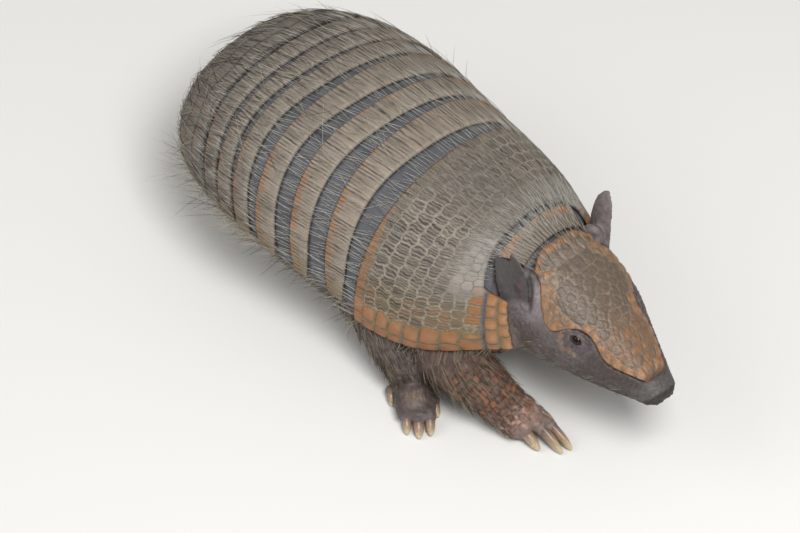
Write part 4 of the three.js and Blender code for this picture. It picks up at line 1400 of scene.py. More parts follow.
SKIN_TRIANGLES = 188000
for name, share_rule, pull in (("hidden", hidden_share, 2.5), ("broad", broad_share, 0.0)):
    weigh(skin, name, share_rule(in_mm(skin)))
    ratio = SKIN_TRIANGLES / triangles(skin)
    apply(skin, "DECIMATE", ratio=ratio, vertex_group=name, vertex_group_factor=pull)
    print("after thinning where", name, ":", triangles(skin), "triangles")
put(skin, kept_above(0.0, under_armour(in_mm(skin))))
skin.vertex_groups.clear()
skin.data.validate()
tidy_shape(skin, 80)
print("skin now:", triangles(skin), "triangles")

# %% [markdown]
# ### Colours of the skin
# Slate-blue between the bands, purplish grey on neck and face, dark ears, reddish brown arms with orange
# scales, grey-pink toes and a horny tail. Creases get painted shade: a little darker than the skin beside
# them.

# %% Tint the skin
SLATE = linear("#58595d")
FLANK_BROWN = linear("#5f534a")
BELLY_PINK = linear("#7d6b60")
NECK_GREY = linear("#857b7c")
FACE_GREY = linear("#615856")
SNOUT_BROWN = linear("#4d4340")
NOSE_GREY = linear("#5d5957")
NOSE_PAD_AND_SHADOW = linear("#37302d")
EAR_BACK = linear("#7b7171")
EAR_INSIDE = linear("#4e4a49")
EAR_RUDDY = linear("#6b5352")
ARM_BROWN = linear("#64524a")
ARM_ORANGE = linear("#985c38")
WRIST_PINK = linear("#9c7a6c")
TOE_GREY = linear("#7b6f68")
HIND_PURPLE = linear("#544846")
TAIL_TAN = linear("#8b7a66")
TAIL_DARK = linear("#5b4d42")


def skin_tint(points, r):
    (px, py, pz), (x, y, z) = points.T, r["h"].T
    mottle = 0.5 + 0.5 * wobble(51, *(points / 14).T)
    colour = blend(FLANK_BROWN, BELLY_PINK, ease((46 - pz) / 20) * (0.6 + 0.4 * mottle))
    colour = blend(colour, SLATE, r["top"])
    neck = blend(NECK_GREY, SLATE, ease((pz - 108) / 12))
    colour = blend(colour, blend(neck, FLANK_BROWN, ease((60 - pz) / 20)), r["neck"])
    face = blend(blend(FACE_GREY, NECK_GREY, ease((34 - x) / 16)), SNOUT_BROWN, ease((x - 60) / 10))
    face = blend(face, BELLY_PINK, 0.5 * ease((-46 - z + 0.3 * (60 - x)) / 12))
    face = blend(face, NOSE_GREY, ease((x - 98) / 10) * 0.8)
    blotches = np.clip(wobble(55, x / 7, z / 5, y / 9), 0, 1) * ease((x - 56) / 10)
    face = blend(face, SKIN_DARK, 0.45 * blotches * ease((-14 - z) / 6) * ease((110 - x) / 6))
    face = blend(face, NOSE_PAD_AND_SHADOW, ease((x - 113.5 + 0.35 * (-z - 10)) / 1.6) * ease((-9 - z) / 2))
    for side in (-1, 1):
        a, b, c = eye_place(points, side)
        spread, edge = np.hypot(a, b), lid_edge(a, b)
        here = (c > -4) * ease((13 - spread) / 5)
        face = blend(face, linear("#51474a"), here * 0.75)
        brow_line = hump(np.hypot(a / 1.35, b) - 7.6, 1.1) * ease((b - 1.5) / 3) * (c > -5)
        face = blend(face, SKIN_DARK, 0.6 * brow_line)
        face = blend(face, linear("#2a2120"), (c > -4) * ease((1.0 - edge) / 0.9))
        face = blend(face, linear("#8b7a74"), (c > -4) * 0.35 * hump(edge - 1.7, 0.6))
    colour = blend(colour, face, r["head"])
    pebbles = 0.5 + 0.5 * np.sin(pz * 3.2) * np.sin((px + py) * 2.6)
    ear = blend(EAR_BACK, FACE_GREY, 0.5 * pebbles)
    for side, name in ((1, "left"), (-1, "right")):
        mine = (y * side > 0).astype(float)
        rise, beyond, a, into = ear_place(points, name)
        open_face = ease((into + 0.5) / 0.9) * mine
        ear = blend(ear, EAR_INSIDE, open_face)
        ear = blend(ear, EAR_RUDDY, 0.7 * hump(a - 4.5, 2.6) * hump(rise - 9, 8) * open_face)
        # Painted shadow: a near-black line along the ear's rear edge and low front edge, where the gap behind
        # the ear lies in shade.
        painted_rim_shadow = ease((beyond + 1.5) / 0.7) * open_face * np.where(a < 0, 1.0, ease((28 - rise) / 8))
        ear = blend(ear, NOSE_PAD_AND_SHADOW * 0.4, 0.9 * painted_rim_shadow)
    colour = blend(colour, ear, r["ear"])
    # Painted shadow: the neck skin just past each ear's edge is near-black, as the deep gap there lies in
    # shade.
    for side, name in ((1, "left"), (-1, "right")):
        colour = blend(colour, NOSE_PAD_AND_SHADOW * 0.5, 0.92 * r["ear_gap_" + name] * (y * side > 0))
    for name in LEGS:
        share, angle, foot = r[name + "_at"]
        if name.startswith("front"):
            leg = blend(ARM_BROWN, WRIST_PINK, ease((share - 0.68) / 0.15) * (0.5 + 0.5 * mottle))
            cover = arm_cover(share, angle) * (0.75 + 0.25 * wobble(54, share * 9, angle / 70))
            on = np.flatnonzero(r[name] * cover > 0.01)
            which, edge, _, _ = arm_scales(share[on], angle[on], path_length(LEGS[name]["paths"][0]))
            some = np.random.default_rng(32).random(400)[which % 400]
            scale = blend(linear("#6f5142"), ARM_ORANGE, ease((some - 0.2) / 0.6))
            leg[on] = blend(leg[on], scale, cover[on] * ease(edge / 0.9) * 0.9)
            leg[on] = blend(leg[on], linear("#332823"), cover[on] * ease((0.5 - edge) / 0.4) * 0.8)
            wrist = ease((share - 0.66) / 0.1) * ease((1.02 - share) / 0.1)
            # Painted highlight: pale blotches on the wrist stand for the shine of wet skin.
            painted_wet_highlight = np.clip(wobble(56, *(points / 4.5).T) + 0.1, 0, 1)
            leg = blend(leg, linear("#c2a79b"), 0.6 * painted_wet_highlight * wrist)
            toe = ease((foot - 14) / 9) * ease((18 - pz) / 4)
            leg = blend(leg, TOE_GREY, toe * (0.7 + 0.3 * mottle))
        else:
            leg = blend(HIND_PURPLE, TOE_GREY, 0.5 * ease((12 - pz) / 6) + 0.25 * mottle)
        leg = blend(leg, ARM_BROWN * 0.6, ease((1.4 - pz) / 1.0))
        colour = blend(colour, leg, r[name])
    share, angle = r["tail_at"]
    ring = (share * TAIL_RINGS) % 1.0
    tail = blend(TAIL_TAN, TAIL_DARK, np.maximum(ease((ring - 0.7) / 0.2), ease((0.08 - ring) / 0.06)))
    tail = blend(tail, TAIL_DARK, 0.45 * (0.5 + 0.5 * wobble(52, share * 30, angle / 22)))
    colour = blend(colour, tail, r["tail"])
    return colour * (0.9 + 0.2 * (0.5 + 0.5 * wobble(53, *(points / 5).T)))[:, None]


def orbit_scutes(points, colour):
    """The arc of small scutes behind and below each eye: their height, and the colour with them in it."""
    height = np.zeros(len(points))
    for side in (-1, 1):
        a, b, c = eye_place(points, side)
        draw = np.random.default_rng(44)
        for k, turn in enumerate(np.linspace(168, 306, 7)):
            reach, wide, tall = 10.2 + draw.uniform(-0.7, 1.2), draw.uniform(1.9, 2.8), draw.uniform(1.7, 2.5)
            da = np.abs(a - reach * math.cos(math.radians(turn))) / wide
            db = np.abs(b - reach * math.sin(math.radians(turn))) / tall
            d = (da**2.6 + db**2.6) ** (1 / 2.6) + (c < -6) * 9
            height += 0.45 * ease((1.15 - d) / 0.4)
            warm = linear("#876858" if k % 3 else "#8a7868")
            colour = blend(colour, warm, ease((1.1 - d) / 0.5) * 0.7)
    return height, colour


spots = in_mm(skin)
areas = regions(spots)
rise, tints = orbit_scutes(spots, skin_tint(spots, areas))
put(skin, spots + normals_of(skin) * rise[:, None])
# Painted shade: the skin is darker in its creases, furrows and pits.
painted_crease_shade = np.clip(-relief_of(spots, areas) / 0.7, 0, 1)
paint(skin, tints * (1 - 0.3 * painted_crease_shade)[:, None])
print("skin tinted:", len(spots), "vertices")

# %% [markdown]
# ## Finishes
# The tints worked out above carry the markings. A finish adds what the eye meets on the real surface: fine
# grain in the bump, a little unevenness of colour, and how much it shines. Each one is named for its real
# material. `add` puts one node in a material, with its settings and its links.

# %% Node helper
def add(material, kind, links=None, **settings):
    """One node: settings go to its own options or to its sockets, and links join sockets to earlier ones."""
    tree = material.node_tree
    made = tree.nodes.new(kind)
    for key, value in settings.items():
        if hasattr(made, key):
            setattr(made, key, value)
        else:
            made.inputs[key.replace("_", " ")].default_value = value
    for key, source in (links or {}).items():
        tree.links.new(source, made.inputs[key])
    return made


BROAD_MM = 9  # size of the broad unevenness of colour


def finish(name, roughness, grain_mm, bump_mm, unevenness, ior=1.5, pits=0.0):
    """A finish on painted tints: fine grain, faint unevenness and gloss."""
    material = bpy.data.materials.new(name)
    material.use_nodes = True
    tree = material.node_tree
    shader = tree.nodes["Principled BSDF"]
    spots = add(material, "ShaderNodeTexCoord").outputs["Object"]
    fine = add(material, "ShaderNodeTexNoise", {"Vector": spots}, Scale=1 / (grain_mm * MM), Detail=4.0,
               Roughness=0.6)
    broad = add(material, "ShaderNodeTexNoise", {"Vector": spots}, Scale=1 / (BROAD_MM * MM), Detail=5.0,
                Roughness=0.62)
    uneven = [add(material, "ShaderNodeMapRange", {"Value": noise.outputs["Fac"]}, clamp=True, From_Min=0.3,
                  From_Max=0.7, To_Min=1 - unevenness, To_Max=1 + unevenness) for noise in (broad, fine)]
    both = add(material, "ShaderNodeMath", {0: uneven[0].outputs[0], 1: uneven[1].outputs[0]},
               operation="MULTIPLY")
    tint = add(material, "ShaderNodeAttribute", attribute_name="tint").outputs["Color"]
    mixed = add(material, "ShaderNodeVectorMath", {0: tint, "Scale": both.outputs[0]}, operation="SCALE")
    tree.links.new(mixed.outputs[0], shader.inputs["Base Color"])
    bump = add(material, "ShaderNodeBump", {"Height": fine.outputs["Fac"]}, Strength=1.0,
               Distance=bump_mm * MM)
    if pits:
        cells = add(material, "ShaderNodeTexVoronoi", {"Vector": spots}, Scale=1 / (pits * MM))
        links = {"Height": cells.outputs["Distance"], "Normal": bump.outputs[0]}
        bump = add(material, "ShaderNodeBump", links, Strength=1.0, Distance=bump_mm * 1.6 * MM, invert=True)
    tree.links.new(bump.outputs[0], shader.inputs["Normal"])
    shader.inputs["Roughness"].default_value = roughness
    shader.inputs["IOR"].default_value = ior
    return material


def wear(piece, material, body="root"):
    """Give a piece its finish and let it ride on the model's one body."""
    piece.data.materials.clear()
    piece.data.materials.append(material)
    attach(piece, body)
    return piece


# Keratin, the stuff of horn and nails: dry and scuffed on the back, so that it scatters light softly.
dry_keratin = finish("dry_keratin_scutes", 0.62, 0.9, 0.05, 0.13, ior=1.54)
# The head's scutes are rubbed by burrowing and shine a little more.
rubbed_keratin = finish("rubbed_keratin_scutes", 0.5, 1.1, 0.045, 0.12, ior=1.54)
print("finishes:", dry_keratin.name, "and", rubbed_keratin.name)

# %% Dress the armour
wear(scapular, dry_keratin)
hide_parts("scapular_shield")
for number, band in enumerate(bands, 1):
    wear(band, dry_keratin)
    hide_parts(f"band_{number}")
wear(pelvic, dry_keratin)
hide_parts("pelvic_shield")
wear(nuchal, dry_keratin)
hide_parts("nuchal_band")
wear(head_shield, rubbed_keratin)
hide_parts("head_shield")
print("armour dressed")

# %% [markdown]
# ## Dress the skin
# Bare hide: leathery, with fine pits between the creases, and a soft oily shine on its high places.

# %% Skin finish
wrinkled_leather = finish("bare_wrinkled_hide", 0.52, 0.7, 0.1, 0.12, ior=1.45, pits=1.3)
wear(skin, wrinkled_leather)
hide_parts("trunk", "neck", "head", "ear_left", "ear_right", "tail",
            *(f"leg_{name}" for name in LEGS))
print("skin dressed")

# %% [markdown]
# ## Eyes and claws
# An armadillo's eye is small, almost black and wet. The claws are long and blunt, brown-pink at the root and
# ivory toward the tip, for digging. Both stay pieces of their own, set into the skin.

# %% Eyes
def eyeball(name, side):
    bpy.ops.object.select_all(action="DESELECT")
    bpy.ops.mesh.primitive_uv_sphere_add(segments=40, ring_count=28, radius=1.0)
    piece = bpy.context.object
    piece.name = f"{name}_eyeball"
    centre, way = eye_axis(side)
    ball = places(piece)
    facing = ball @ way
    cornea = EYE["r"] * (1 + 0.05 * ease((facing - 0.72) / 0.2))
    put(piece, from_head(centre + ball * cornea[:, None]))
    iris = blend(linear("#140d0a"), linear("#22150e"), ease((facing - 0.75) / 0.1))
    paint(piece, blend(iris, linear("#080605"), ease((facing - 0.9) / 0.04)))
    return tidy_shape(piece, 180)


eyes = {name: eyeball(name, side) for name, side in (("left", 1), ("right", -1))}
wet_eye = finish("wet_dark_eye", 0.07, 2.0, 0.0, 0.02, ior=1.38)
for name, eye in eyes.items():
    wear(eye, wet_eye)
    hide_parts(f"eye_{name}")
print("eyes:", sum(triangles(e) for e in eyes.values()), "triangles")

# %% Claws
CLAW_ARCH = 4.5  # how far the middle of a claw rises above its chord, mm


def claw_stations(root, tip, wide, deep):
    rows = []
    for t in (-0.12, 0.08, 0.28, 0.5, 0.7, 0.86, 0.95, 0.99):
        x, y, z = toward(root, tip, t)
        thin = 1.1 * math.sqrt(max(1 - max(t, 0) ** 3.2, 0.06))
        rows.append([x, y, z + CLAW_ARCH * t * (1 - t), wide * thin, deep * thin])
    return rows


def claw_piece(name, claw, seed):
    root, tip, wide, deep = claw

    def grooves(i, j):
        return 0.07 * np.sin(2 * np.pi * (j * 11 + 0.2 * np.sin(i * 9 + seed))) * (1 - i)

    piece = tube(name, 26, 28, threaded(claw_stations(root, tip, wide, deep), grooves))
    spots = in_mm(piece)
    way = np.array(tip, float) - root
    t = (spots - root) @ way / (way @ way)
    streak = 0.12 * wobble(60 + seed, *(spots / [9, 1.6, 1.6]).T)
    colour = blend(linear("#6d584f"), linear("#9a8168"), ease((t + streak - 0.15) / 0.45))
    colour = blend(colour, linear("#c6b695"), ease((t + streak - 0.6) / 0.35))
    stain = np.clip(wobble(80 + seed, *(spots / [14, 2.2, 2.2]).T), 0, 1)
    colour = blend(colour, linear("#55433a"), 0.55 * stain * (1 - t))
    underside = ease((np.interp(t, [0, 1], [root[2], tip[2]]) - spots[:, 2] + 0.5) / 2.5)
    paint(piece, blend(colour, linear("#5f5044"), 0.5 * underside))
    put(piece, kept_above(0.05, spots))
    return tidy_shape(piece, 60)


keratin_claw = finish("polished_claw_keratin", 0.36, 0.6, 0.02, 0.07, ior=1.54)
for leg, parts in LEGS.items():
    pieces = [claw_piece(f"claw_{leg}_{k}_piece", claw, k) for k, claw in enumerate(parts["claws"])]
    wear(joined(f"claws_{leg}", pieces), keratin_claw)
    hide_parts(*(f"claw_{leg}_{k + 1}" for k in range(len(pieces))))

# %% [markdown]
# ## Bristles
# Stiff, pale bristles grow out from under the rear edge of every scute and lie backward over the next row.
# On the rump they are thick and mixed with dark ones, and along the rims they form a fringe. Each bristle is
# a real, tapered mesh: three-sided rings along a path, closed in a point. No modelling tool lays out
# thousands of paths, so these meshes come from arrays.
#
# Each bristle also gets a small patch in the UV map `OFBake`, at the place of its root on an unwrap of the
# body: the hull in one block, the head and the limbs beside it.

# %% Bristle helpers
STEPS = np.array([0.0, 0.28, 0.55, 0.8, 1.0])  # where its four rings and its point lie, from root to tip
RING_WIDTH = np.array([0.75, 1.0, 0.85, 0.55])
PATCH = 0.0028  # side of a bristle's patch in the UV map


def bristles(name, lines, width, tints, roots_uv, seed):
    """One mesh from many paths of five points each. Widths in mm, one colour and one UV place for each."""
    draw = np.random.default_rng(seed)
    count = len(lines)
    along = unit(np.gradient(lines, axis=1))
    aside = unit(np.cross(along, draw.normal(size=(count, 1, 3))))
    above = np.cross(along, aside)
    radius = (width[:, None] / 2 * RING_WIDTH)[..., None]
    rings = []
    for w in np.radians([0, 120, 240]):
        rings.append(lines[:, :4] + radius * (aside * math.cos(w) + above * math.sin(w))[:, :4])
    body = np.stack(rings, 2).reshape(count, 12, 3)
    points = np.concatenate([body, lines[:, 4:5]], 1).reshape(-1, 3)
    corners = []
    for ring in (0, 3, 6):
        for a, b in ((0, 1), (1, 2), (2, 0)):
            corners += [ring + a, ring + b, ring + 3 + b, ring + 3 + a]
    corners += [9, 10, 12, 10, 11, 12, 11, 9, 12]
    loops = (np.array(corners) + 13 * np.arange(count)[:, None]).ravel()
    sizes = np.tile([4] * 9 + [3] * 3, count)
    mesh = bpy.data.meshes.new(name)
    mesh.vertices.add(len(points))
    mesh.vertices.foreach_set("co", in_frame(points).ravel())
    mesh.loops.add(len(loops))
    mesh.loops.foreach_set("vertex_index", loops.astype(np.int32))
    mesh.polygons.add(len(sizes))
    mesh.polygons.foreach_set("loop_start", np.concatenate([[0], np.cumsum(sizes)[:-1]]).astype(np.int32))
    mesh.update(calc_edges=True)
    piece = bpy.data.objects.new(name, mesh)
    bpy.context.scene.collection.objects.link(piece)
    ring_t = np.append(np.repeat(STEPS[:4], 3), 1.0)
    ring_c = np.append(np.tile([0, 0.5, 1.0], 4), 0.5)
    shade = (0.72 + 0.28 * ease(ring_t / 0.4))[None, :, None]
    paint(piece, (tints[:, None, :] * shade).reshape(-1, 3))
    patch = np.stack([ring_t, ring_c], 1)[None] * PATCH
    uv = (np.clip(roots_uv, 0.002, 0.994)[:, None] + patch).reshape(-1, 2)
    mesh.uv_layers.new(name="OFBake").data.foreach_set("uv", uv[loops].ravel().astype(np.float32))
    return tidy_shape(piece, 180)


def body_uv(s, v):
    return np.stack([(s + 0.1) / 1.2 * 0.6, (v + 180) / 360], 1)


def metric(s, v):
    """Millimetres along the hull for one unit of s, and round it for one degree of v."""
    along = np.linalg.norm(hull_point(s + 0.004, v) - hull_point(s - 0.004, v), axis=1) / 0.008
    around = np.linalg.norm(hull_point(s, v + 0.8) - hull_point(s, v - 0.8), axis=1) / 1.6
    return np.maximum(along, 150), np.maximum(around, 0.5)


def lying(s, v, length, turn, root_height, end_height, stiff):
    """Paths that lie backward on the hull, turned off that way by degrees; stiff ones leave the curve."""
    paths, s_now, v_now, last = [], s.copy(), v.copy(), 0.0
    first = hull(s, v, root_height)
    step_s, step_v = metric(s, v)
    beside_it = v + 0.012 * step_s / step_v * np.tan(np.radians(turn))
    ahead = unit(hull(np.minimum(s + 0.012, 1.02), beside_it, root_height) - first)
    for t in STEPS:
        step_s, step_v = metric(s_now, v_now)
        bend = np.radians(turn * (1 + 0.5 * t))
        s_now = np.minimum(s_now + length * (t - last) * np.cos(bend) / step_s, 1.0)
        v_now = v_now + length * (t - last) * np.sin(bend) / step_v
        last = t
        on_hull = hull(s_now, v_now, mix(root_height, end_height, t ** 1.2))
        straight = first + ahead * (length * t)[:, None]
        paths.append(mix(on_hull, straight, (stiff * t)[:, None]))
    return np.stack(paths, 1)


def free(roots, way, sag, length):
    """Paths that stand free: they set out one way and bend by sag, which is a share of their length."""
    t = STEPS[None, :, None]
    return roots[:, None] + length[:, None, None] * (unit(way)[:, None] * t + sag[:, None] * t**2)


CREAM = linear("#b5ae9d")
WHITISH = linear("#c4c3bc")
STRAW = linear("#a3967c")
DARK_BRISTLE = linear("#302924")
RUSTY = linear("#6b4c3c")


def hair_tints(draw, count, dark_share, pale=CREAM, dark=DARK_BRISTLE):
    """Pale and dark bristles mixed, each a little different."""
    is_dark = (draw.random(count) < dark_share)[:, None]
    tint = np.where(is_dark, dark, blend(pale, STRAW, draw.random(count) * 0.5))
    return tint * draw.uniform(0.8, 1.15, count)[:, None]


hair = {"back": [], "side": [], "limb": []}


def keep_hair(group, lines, width, tint, uv):
    hair[group].append((lines, width, tint, uv))


print("bristle tools ready")

# %% [markdown]
# ### Bristles on the back
# A row of them for the rear edge of each plate, thinner ones over the bands and the shoulder, and several
# dense rows on the rump.

# %% Back
def level(s):
    """An edge that runs straight round the body."""
    return lambda v: np.full(np.shape(v), s)


def row(seed, count, edge, spread, length, dark, width, turn=(-4, 8), heights=(-0.6, 0.5), stiff=0.25,
        v_reach=1.0, pale=CREAM):
    """Bristles rooted along an edge across the back, within a spread of s in front of it."""
    draw = np.random.default_rng(seed)
    v = (np.arange(count) + draw.uniform(0, 1, count)) * 2 / count - 1
    v = v * (rim_angle(edge(v * 88)) - 1.5) * v_reach
    s = edge(v) - draw.uniform(*spread, count)
    long = draw.uniform(*length, count) * (1 - 0.25 * draw.random(count) ** 3)
    lines = lying(s, v, long, draw.normal(turn[0], turn[1], count), np.full(count, heights[0]),
                  heights[1] * draw.uniform(0.3, 1.8, count), stiff * draw.uniform(0.3, 1.6, count))
    keep_hair("back", lines, width * draw.uniform(0.75, 1.25, count), hair_tints(draw, count, dark, pale),
              body_uv(s, v))


plate_ends = [scapular_end] + [held(ACROSS, rear_row) for _, rear_row in BAND_EDGES]
for k, rear_edge in enumerate(plate_ends):
    row(100 + k, 170 + 10 * k, rear_edge, (0.0, 0.007), (13, 25), 0.05 + 0.05 * k, 0.31, stiff=0.35,
        pale=WHITISH)
    row(120 + k, 70 + 16 * k, rear_edge, (0.006, 0.045), (8, 15), 0.4 + 0.05 * k, 0.24, heights=(-0.35, 0.35))
for k, s in enumerate((0.13, 0.16, 0.19, 0.22, 0.25)):
    row(140 + k, 150, level(s), (0.0, 0.02), (7, 13), 0.2, 0.22, heights=(-0.3, 0.3), v_reach=0.75)
for k, s in enumerate((0.05, 0.075, 0.1)):
    row(150 + k, 170, level(s), (0.0, 0.02), (9, 17), 0.1, 0.24, heights=(-0.3, 0.6), v_reach=0.5,
        pale=WHITISH)
for k, s in enumerate(np.linspace(0.765, 0.985, 9)):
    row(160 + k, 34 + 5 * k, level(s), (-0.012, 0.012), (19, 40), 0.5, 0.48,
        turn=(-4, 15), heights=(-0.4, 1.6), stiff=0.4, pale=STRAW * 0.9)
    row(170 + k, 18, level(s), (-0.012, 0.012), (9, 16), 0.5, 0.24,
        turn=(-2, 10), heights=(-0.35, 0.5), stiff=0.3)
print("bristles on the back:", sum(len(lines) for lines, *_ in hair["back"]))

# %% Fringes, flanks and strays
def hull_axes(s, v):
    """Backward and outward directions on the hull."""
    backward = unit(hull_point(s + 0.01, v) - hull_point(s - 0.01, v))
    return backward, hull(s, v, 1.0) - hull_point(s, v)


def rim_fringe(seed, count, side, span, length, dark, outward_share, down_share):
    draw = np.random.default_rng(seed)
    s = draw.uniform(*span, count)
    v = side * (rim_angle(s) + draw.uniform(-3, 1.0, count))
    backward, out = hull_axes(s, v)
    roots = hull(s, v, -draw.uniform(3.0, 7.0, count))
    way = backward * draw.uniform(0.35, 0.9, (count, 1))
    way = way + out * outward_share * draw.uniform(0.5, 1.5, (count, 1))
    way = way - np.array([0, 0, down_share]) * draw.uniform(0.5, 1.4, (count, 1))
    way = way + draw.normal(0, 0.12, (count, 3))
    sag = np.array([-0.05, 0, -0.22]) * draw.uniform(0.3, 1.3, (count, 1)) + draw.normal(0, 0.05, (count, 3))
    keep_hair("side", free(roots, way, sag, draw.uniform(*length, count)), draw.uniform(0.24, 0.4, count),
              hair_tints(draw, count, dark), body_uv(s, v))


for side in (-1, 1):
    rim_fringe(200 + side, 520, side, (0.02, 0.27), (9, 17), 0.55, 0.15, 1.0)
    rim_fringe(210 + side, 170, side, (0.27, 0.74), (11, 24), 0.35, 0.25, 0.5)
    rim_fringe(220 + side, 60, side, (0.72, 0.99), (14, 30), 0.45, 0.45, 0.3)
    rim_fringe(225 + side, 110, side, (0.5, 0.98), (26, 46), 0.15, 0.3, 0.1)


def flank_hair(seed, count):
    """Thin hair over the flanks and the belly."""
    draw = np.random.default_rng(seed)
    s = draw.uniform(0.06, 0.8, count)
    limit = rim_angle(s)
    side = np.where(draw.random(count) < 0.5, -1, 1)
    low = draw.random(count) ** 1.4
    v = side * mix(limit + 3, 176, low)
    tuck = mix(FLANK_TUCK, 0.5, ease((np.abs(v) - limit - 6) / 50))
    backward, out = hull_axes(leaning(s, v), v)
    roots = hull(leaning(s, v), v, -tuck - 0.8)
    way = backward + out * draw.uniform(0.12, 0.4, (count, 1)) + draw.normal(0, 0.15, (count, 3))
    way = way + np.array([0, 0, -0.3])
    sag = np.array([0, 0, -0.12]) + draw.normal(0, 0.05, (count, 3))
    keep_hair("side", free(roots, way, sag, draw.uniform(8, 17, count)), draw.uniform(0.18, 0.28, count),
              hair_tints(draw, count, 0.45), body_uv(s, v))


flank_hair(230, 800)


def strays(seed, count):
    """Long bristles that cross the others."""
    draw = np.random.default_rng(seed)
    s, v = draw.uniform(0.2, 0.9, count), draw.uniform(-84, 84, count)
    backward, out = hull_axes(s, v)
    across = np.cross(backward, out)
    way = backward + across * draw.normal(-0.15, 0.55, (count, 1))
    way = way + out * draw.uniform(0.08, 0.22, (count, 1))
    sag = across * draw.normal(0, 0.1, (count, 1)) - out * draw.uniform(0.05, 0.22, (count, 1))
    keep_hair("side", free(hull(s, v, -0.5), way, sag, draw.uniform(22, 44, count)),
              draw.uniform(0.24, 0.36, count), hair_tints(draw, count, 0.15), body_uv(s, v))


strays(240, 150)
print("bristles at the sides:", sum(len(lines) for lines, *_ in hair["side"]))

# %% [markdown]
# ### Hair on the limbs, the neck and the head
# The upper arm is shaggy, the hand and foot have short sparse hair, and the face carries a few short
# whiskers. The tail has a little hair between its rings.

# %% Limbs and head
def limb_hair(seed, count, stations, block, shares, length, dark, lift, width, angles=(0, 360)):
    """Hair that runs down a limb, from roots just inside its surface."""
    draw = np.random.default_rng(seed)
    share, angle = draw.uniform(*shares, count), np.radians(draw.uniform(*angles, count))
    path = limb_path(stations)
    here = path(share)
    along = unit((path(np.minimum(share + 0.02, 1.02)) - path(share - 0.02))[:, :3])
    side, up = square_to(along)
    side, up = side * np.cos(angle)[:, None], up * np.sin(angle)[:, None]
    out = unit(side / here[:, 3:4] + up / here[:, 4:5])
    roots = here[:, :3] + 0.985 * (side * here[:, 3:4] + up * here[:, 4:5])
    way = along + out * draw.uniform(*lift, (count, 1)) + draw.normal(0, 0.14, (count, 3)) - [0, 0, 0.15]
    sag = -0.1 * out + np.array([0, 0, -0.08]) + draw.normal(0, 0.05, (count, 3))
    long = draw.uniform(*length, count)
    lines = free(roots, way, sag, long)
    # What would grow through the armour is pressed flat under it, and comes out below the rim.
    flat = lines.reshape(-1, 3).copy()
    high = np.flatnonzero((flat[:, 2] > 48) & (flat[:, 0] < 8))
    s, v, height = onto_hull(flat[high])
    under = (np.abs(v) < rim_angle(s) + 1) & (height > -5.5)
    flat[high[under]] = hull(s[under], v[under], -5.5)
    lines = flat.reshape(lines.shape)
    keep = (lines[..., 2].min(1) > 0.5) & (roots[:, 2] > 3.0)
    uv = np.stack([0.64 + 0.06 * block + 0.05 * np.clip(share, 0, 1), np.degrees(angle) / 360], 1)
    widths = width * draw.uniform(0.75, 1.25, count)
    tints = hair_tints(draw, count, dark, STRAW, blend(DARK_BRISTLE, RUSTY, 0.35))
    keep_hair("limb", lines[keep], widths[keep], tints[keep], uv[keep])


for block, (name, parts) in enumerate(LEGS.items()):
    front = name.startswith("front")
    main = parts["paths"][0]
    upper, lower = ((0.1, 0.5), (0.42, 0.8)) if front else ((0.2, 0.7), (0.6, 0.95))
    limb_hair(300 + block, 1500, main, block, upper, (8, 15), 0.62, (0.1, 0.3), 0.24)
    limb_hair(310 + block, 680, main, block, lower, (6, 12), 0.75, (0.08, 0.3), 0.26)
    if not front:
        limb_hair(320 + block, 320, parts["paths"][1], block, (0.1, 0.8), (4, 7), 0.7, (0.15, 0.4), 0.18,
                  angles=(200, 340))
limb_hair(330, 420, TAIL, 4, (0.05, 0.95), (4, 8), 0.4, (0.1, 0.3), 0.18)


def head_hair(seed, count, xs, vs, length, lift, dark, width):
    """Short hair that lies backward on the head."""
    draw = np.random.default_rng(seed)
    x, v = draw.uniform(*xs, count), draw.uniform(*vs, count) * np.where(draw.random(count) < 0.5, -1, 1)
    here = skull(x, v, -0.6)
    out = skull(x, v, 1.0) - skull(x, v, 0.0)
    way = np.array([-1.0, 0, -0.25]) + out * draw.uniform(*lift, (count, 1)) + draw.normal(0, 0.2, (count, 3))
    sag = draw.normal(0, 0.06, (count, 3)) + [0, 0, -0.08]
    lines = free(from_head(here), way @ head_turn.T, sag, draw.uniform(*length, count))
    keep_hair("limb", lines, width * draw.uniform(0.7, 1.2, count), hair_tints(draw, count, dark),
              np.stack([0.94 + 0.045 * (x + 10) / 130, (v + 180) / 360], 1))


head_hair(340, 260, (20, 100), (88, 150), (3, 6), (0.2, 0.7), 0.4, 0.16)
head_hair(341, 380, (10, 60), (120, 178), (5, 10), (0.2, 0.6), 0.35, 0.18)
head_hair(342, 70, (-8, 3), (2, 36), (8, 14), (0.1, 0.3), 0.1, 0.24)


def nape_hair(seed, count):
    """From under the nape band, over the fold behind it."""
    draw = np.random.default_rng(seed)
    v = draw.uniform(-27, 35, count)
    s = 0.036 - draw.uniform(0, 0.05, count)
    lines = lying(s, v, draw.uniform(9, 19, count), draw.normal(0, 9, count), np.full(count, -0.5),
                  draw.uniform(0.2, 1.4, count), draw.uniform(0.1, 0.4, count))
    keep_hair("side", lines, draw.uniform(0.22, 0.32, count), hair_tints(draw, count, 0.08, WHITISH),
              body_uv(s, v))


nape_hair(350, 230)
print("hairs on limbs and head:", sum(len(lines) for lines, *_ in hair["limb"]))

# %% Make the bristle pieces
dry_bristle = finish("stiff_pale_bristle", 0.5, 3.0, 0.0, 0.05, ior=1.5)
PIECE_LIMIT = 9000  # bristles in one piece, 21 triangles each
REACH = 8.0  # mm that bristles may stand out beyond the solid model's box
low_side, high_side = np.array(cad_box) / MM + FLOOR_MIDDLE + [[-REACH], [REACH]]


def within_reach(lines):
    """Bristles that would stand out too far are shorter ones."""
    root, rest = lines[:, :1], lines[:, 1:] - lines[:, :1]
    room = np.where(rest > 0, high_side - root, low_side - root)
    share = room / np.where(np.abs(rest) > 1e-3, rest, np.where(rest > 0, 1e-3, -1e-3))
    return root + (lines - root) * np.clip(share.min(axis=(1, 2)), 0.2, 1.0)[:, None, None]


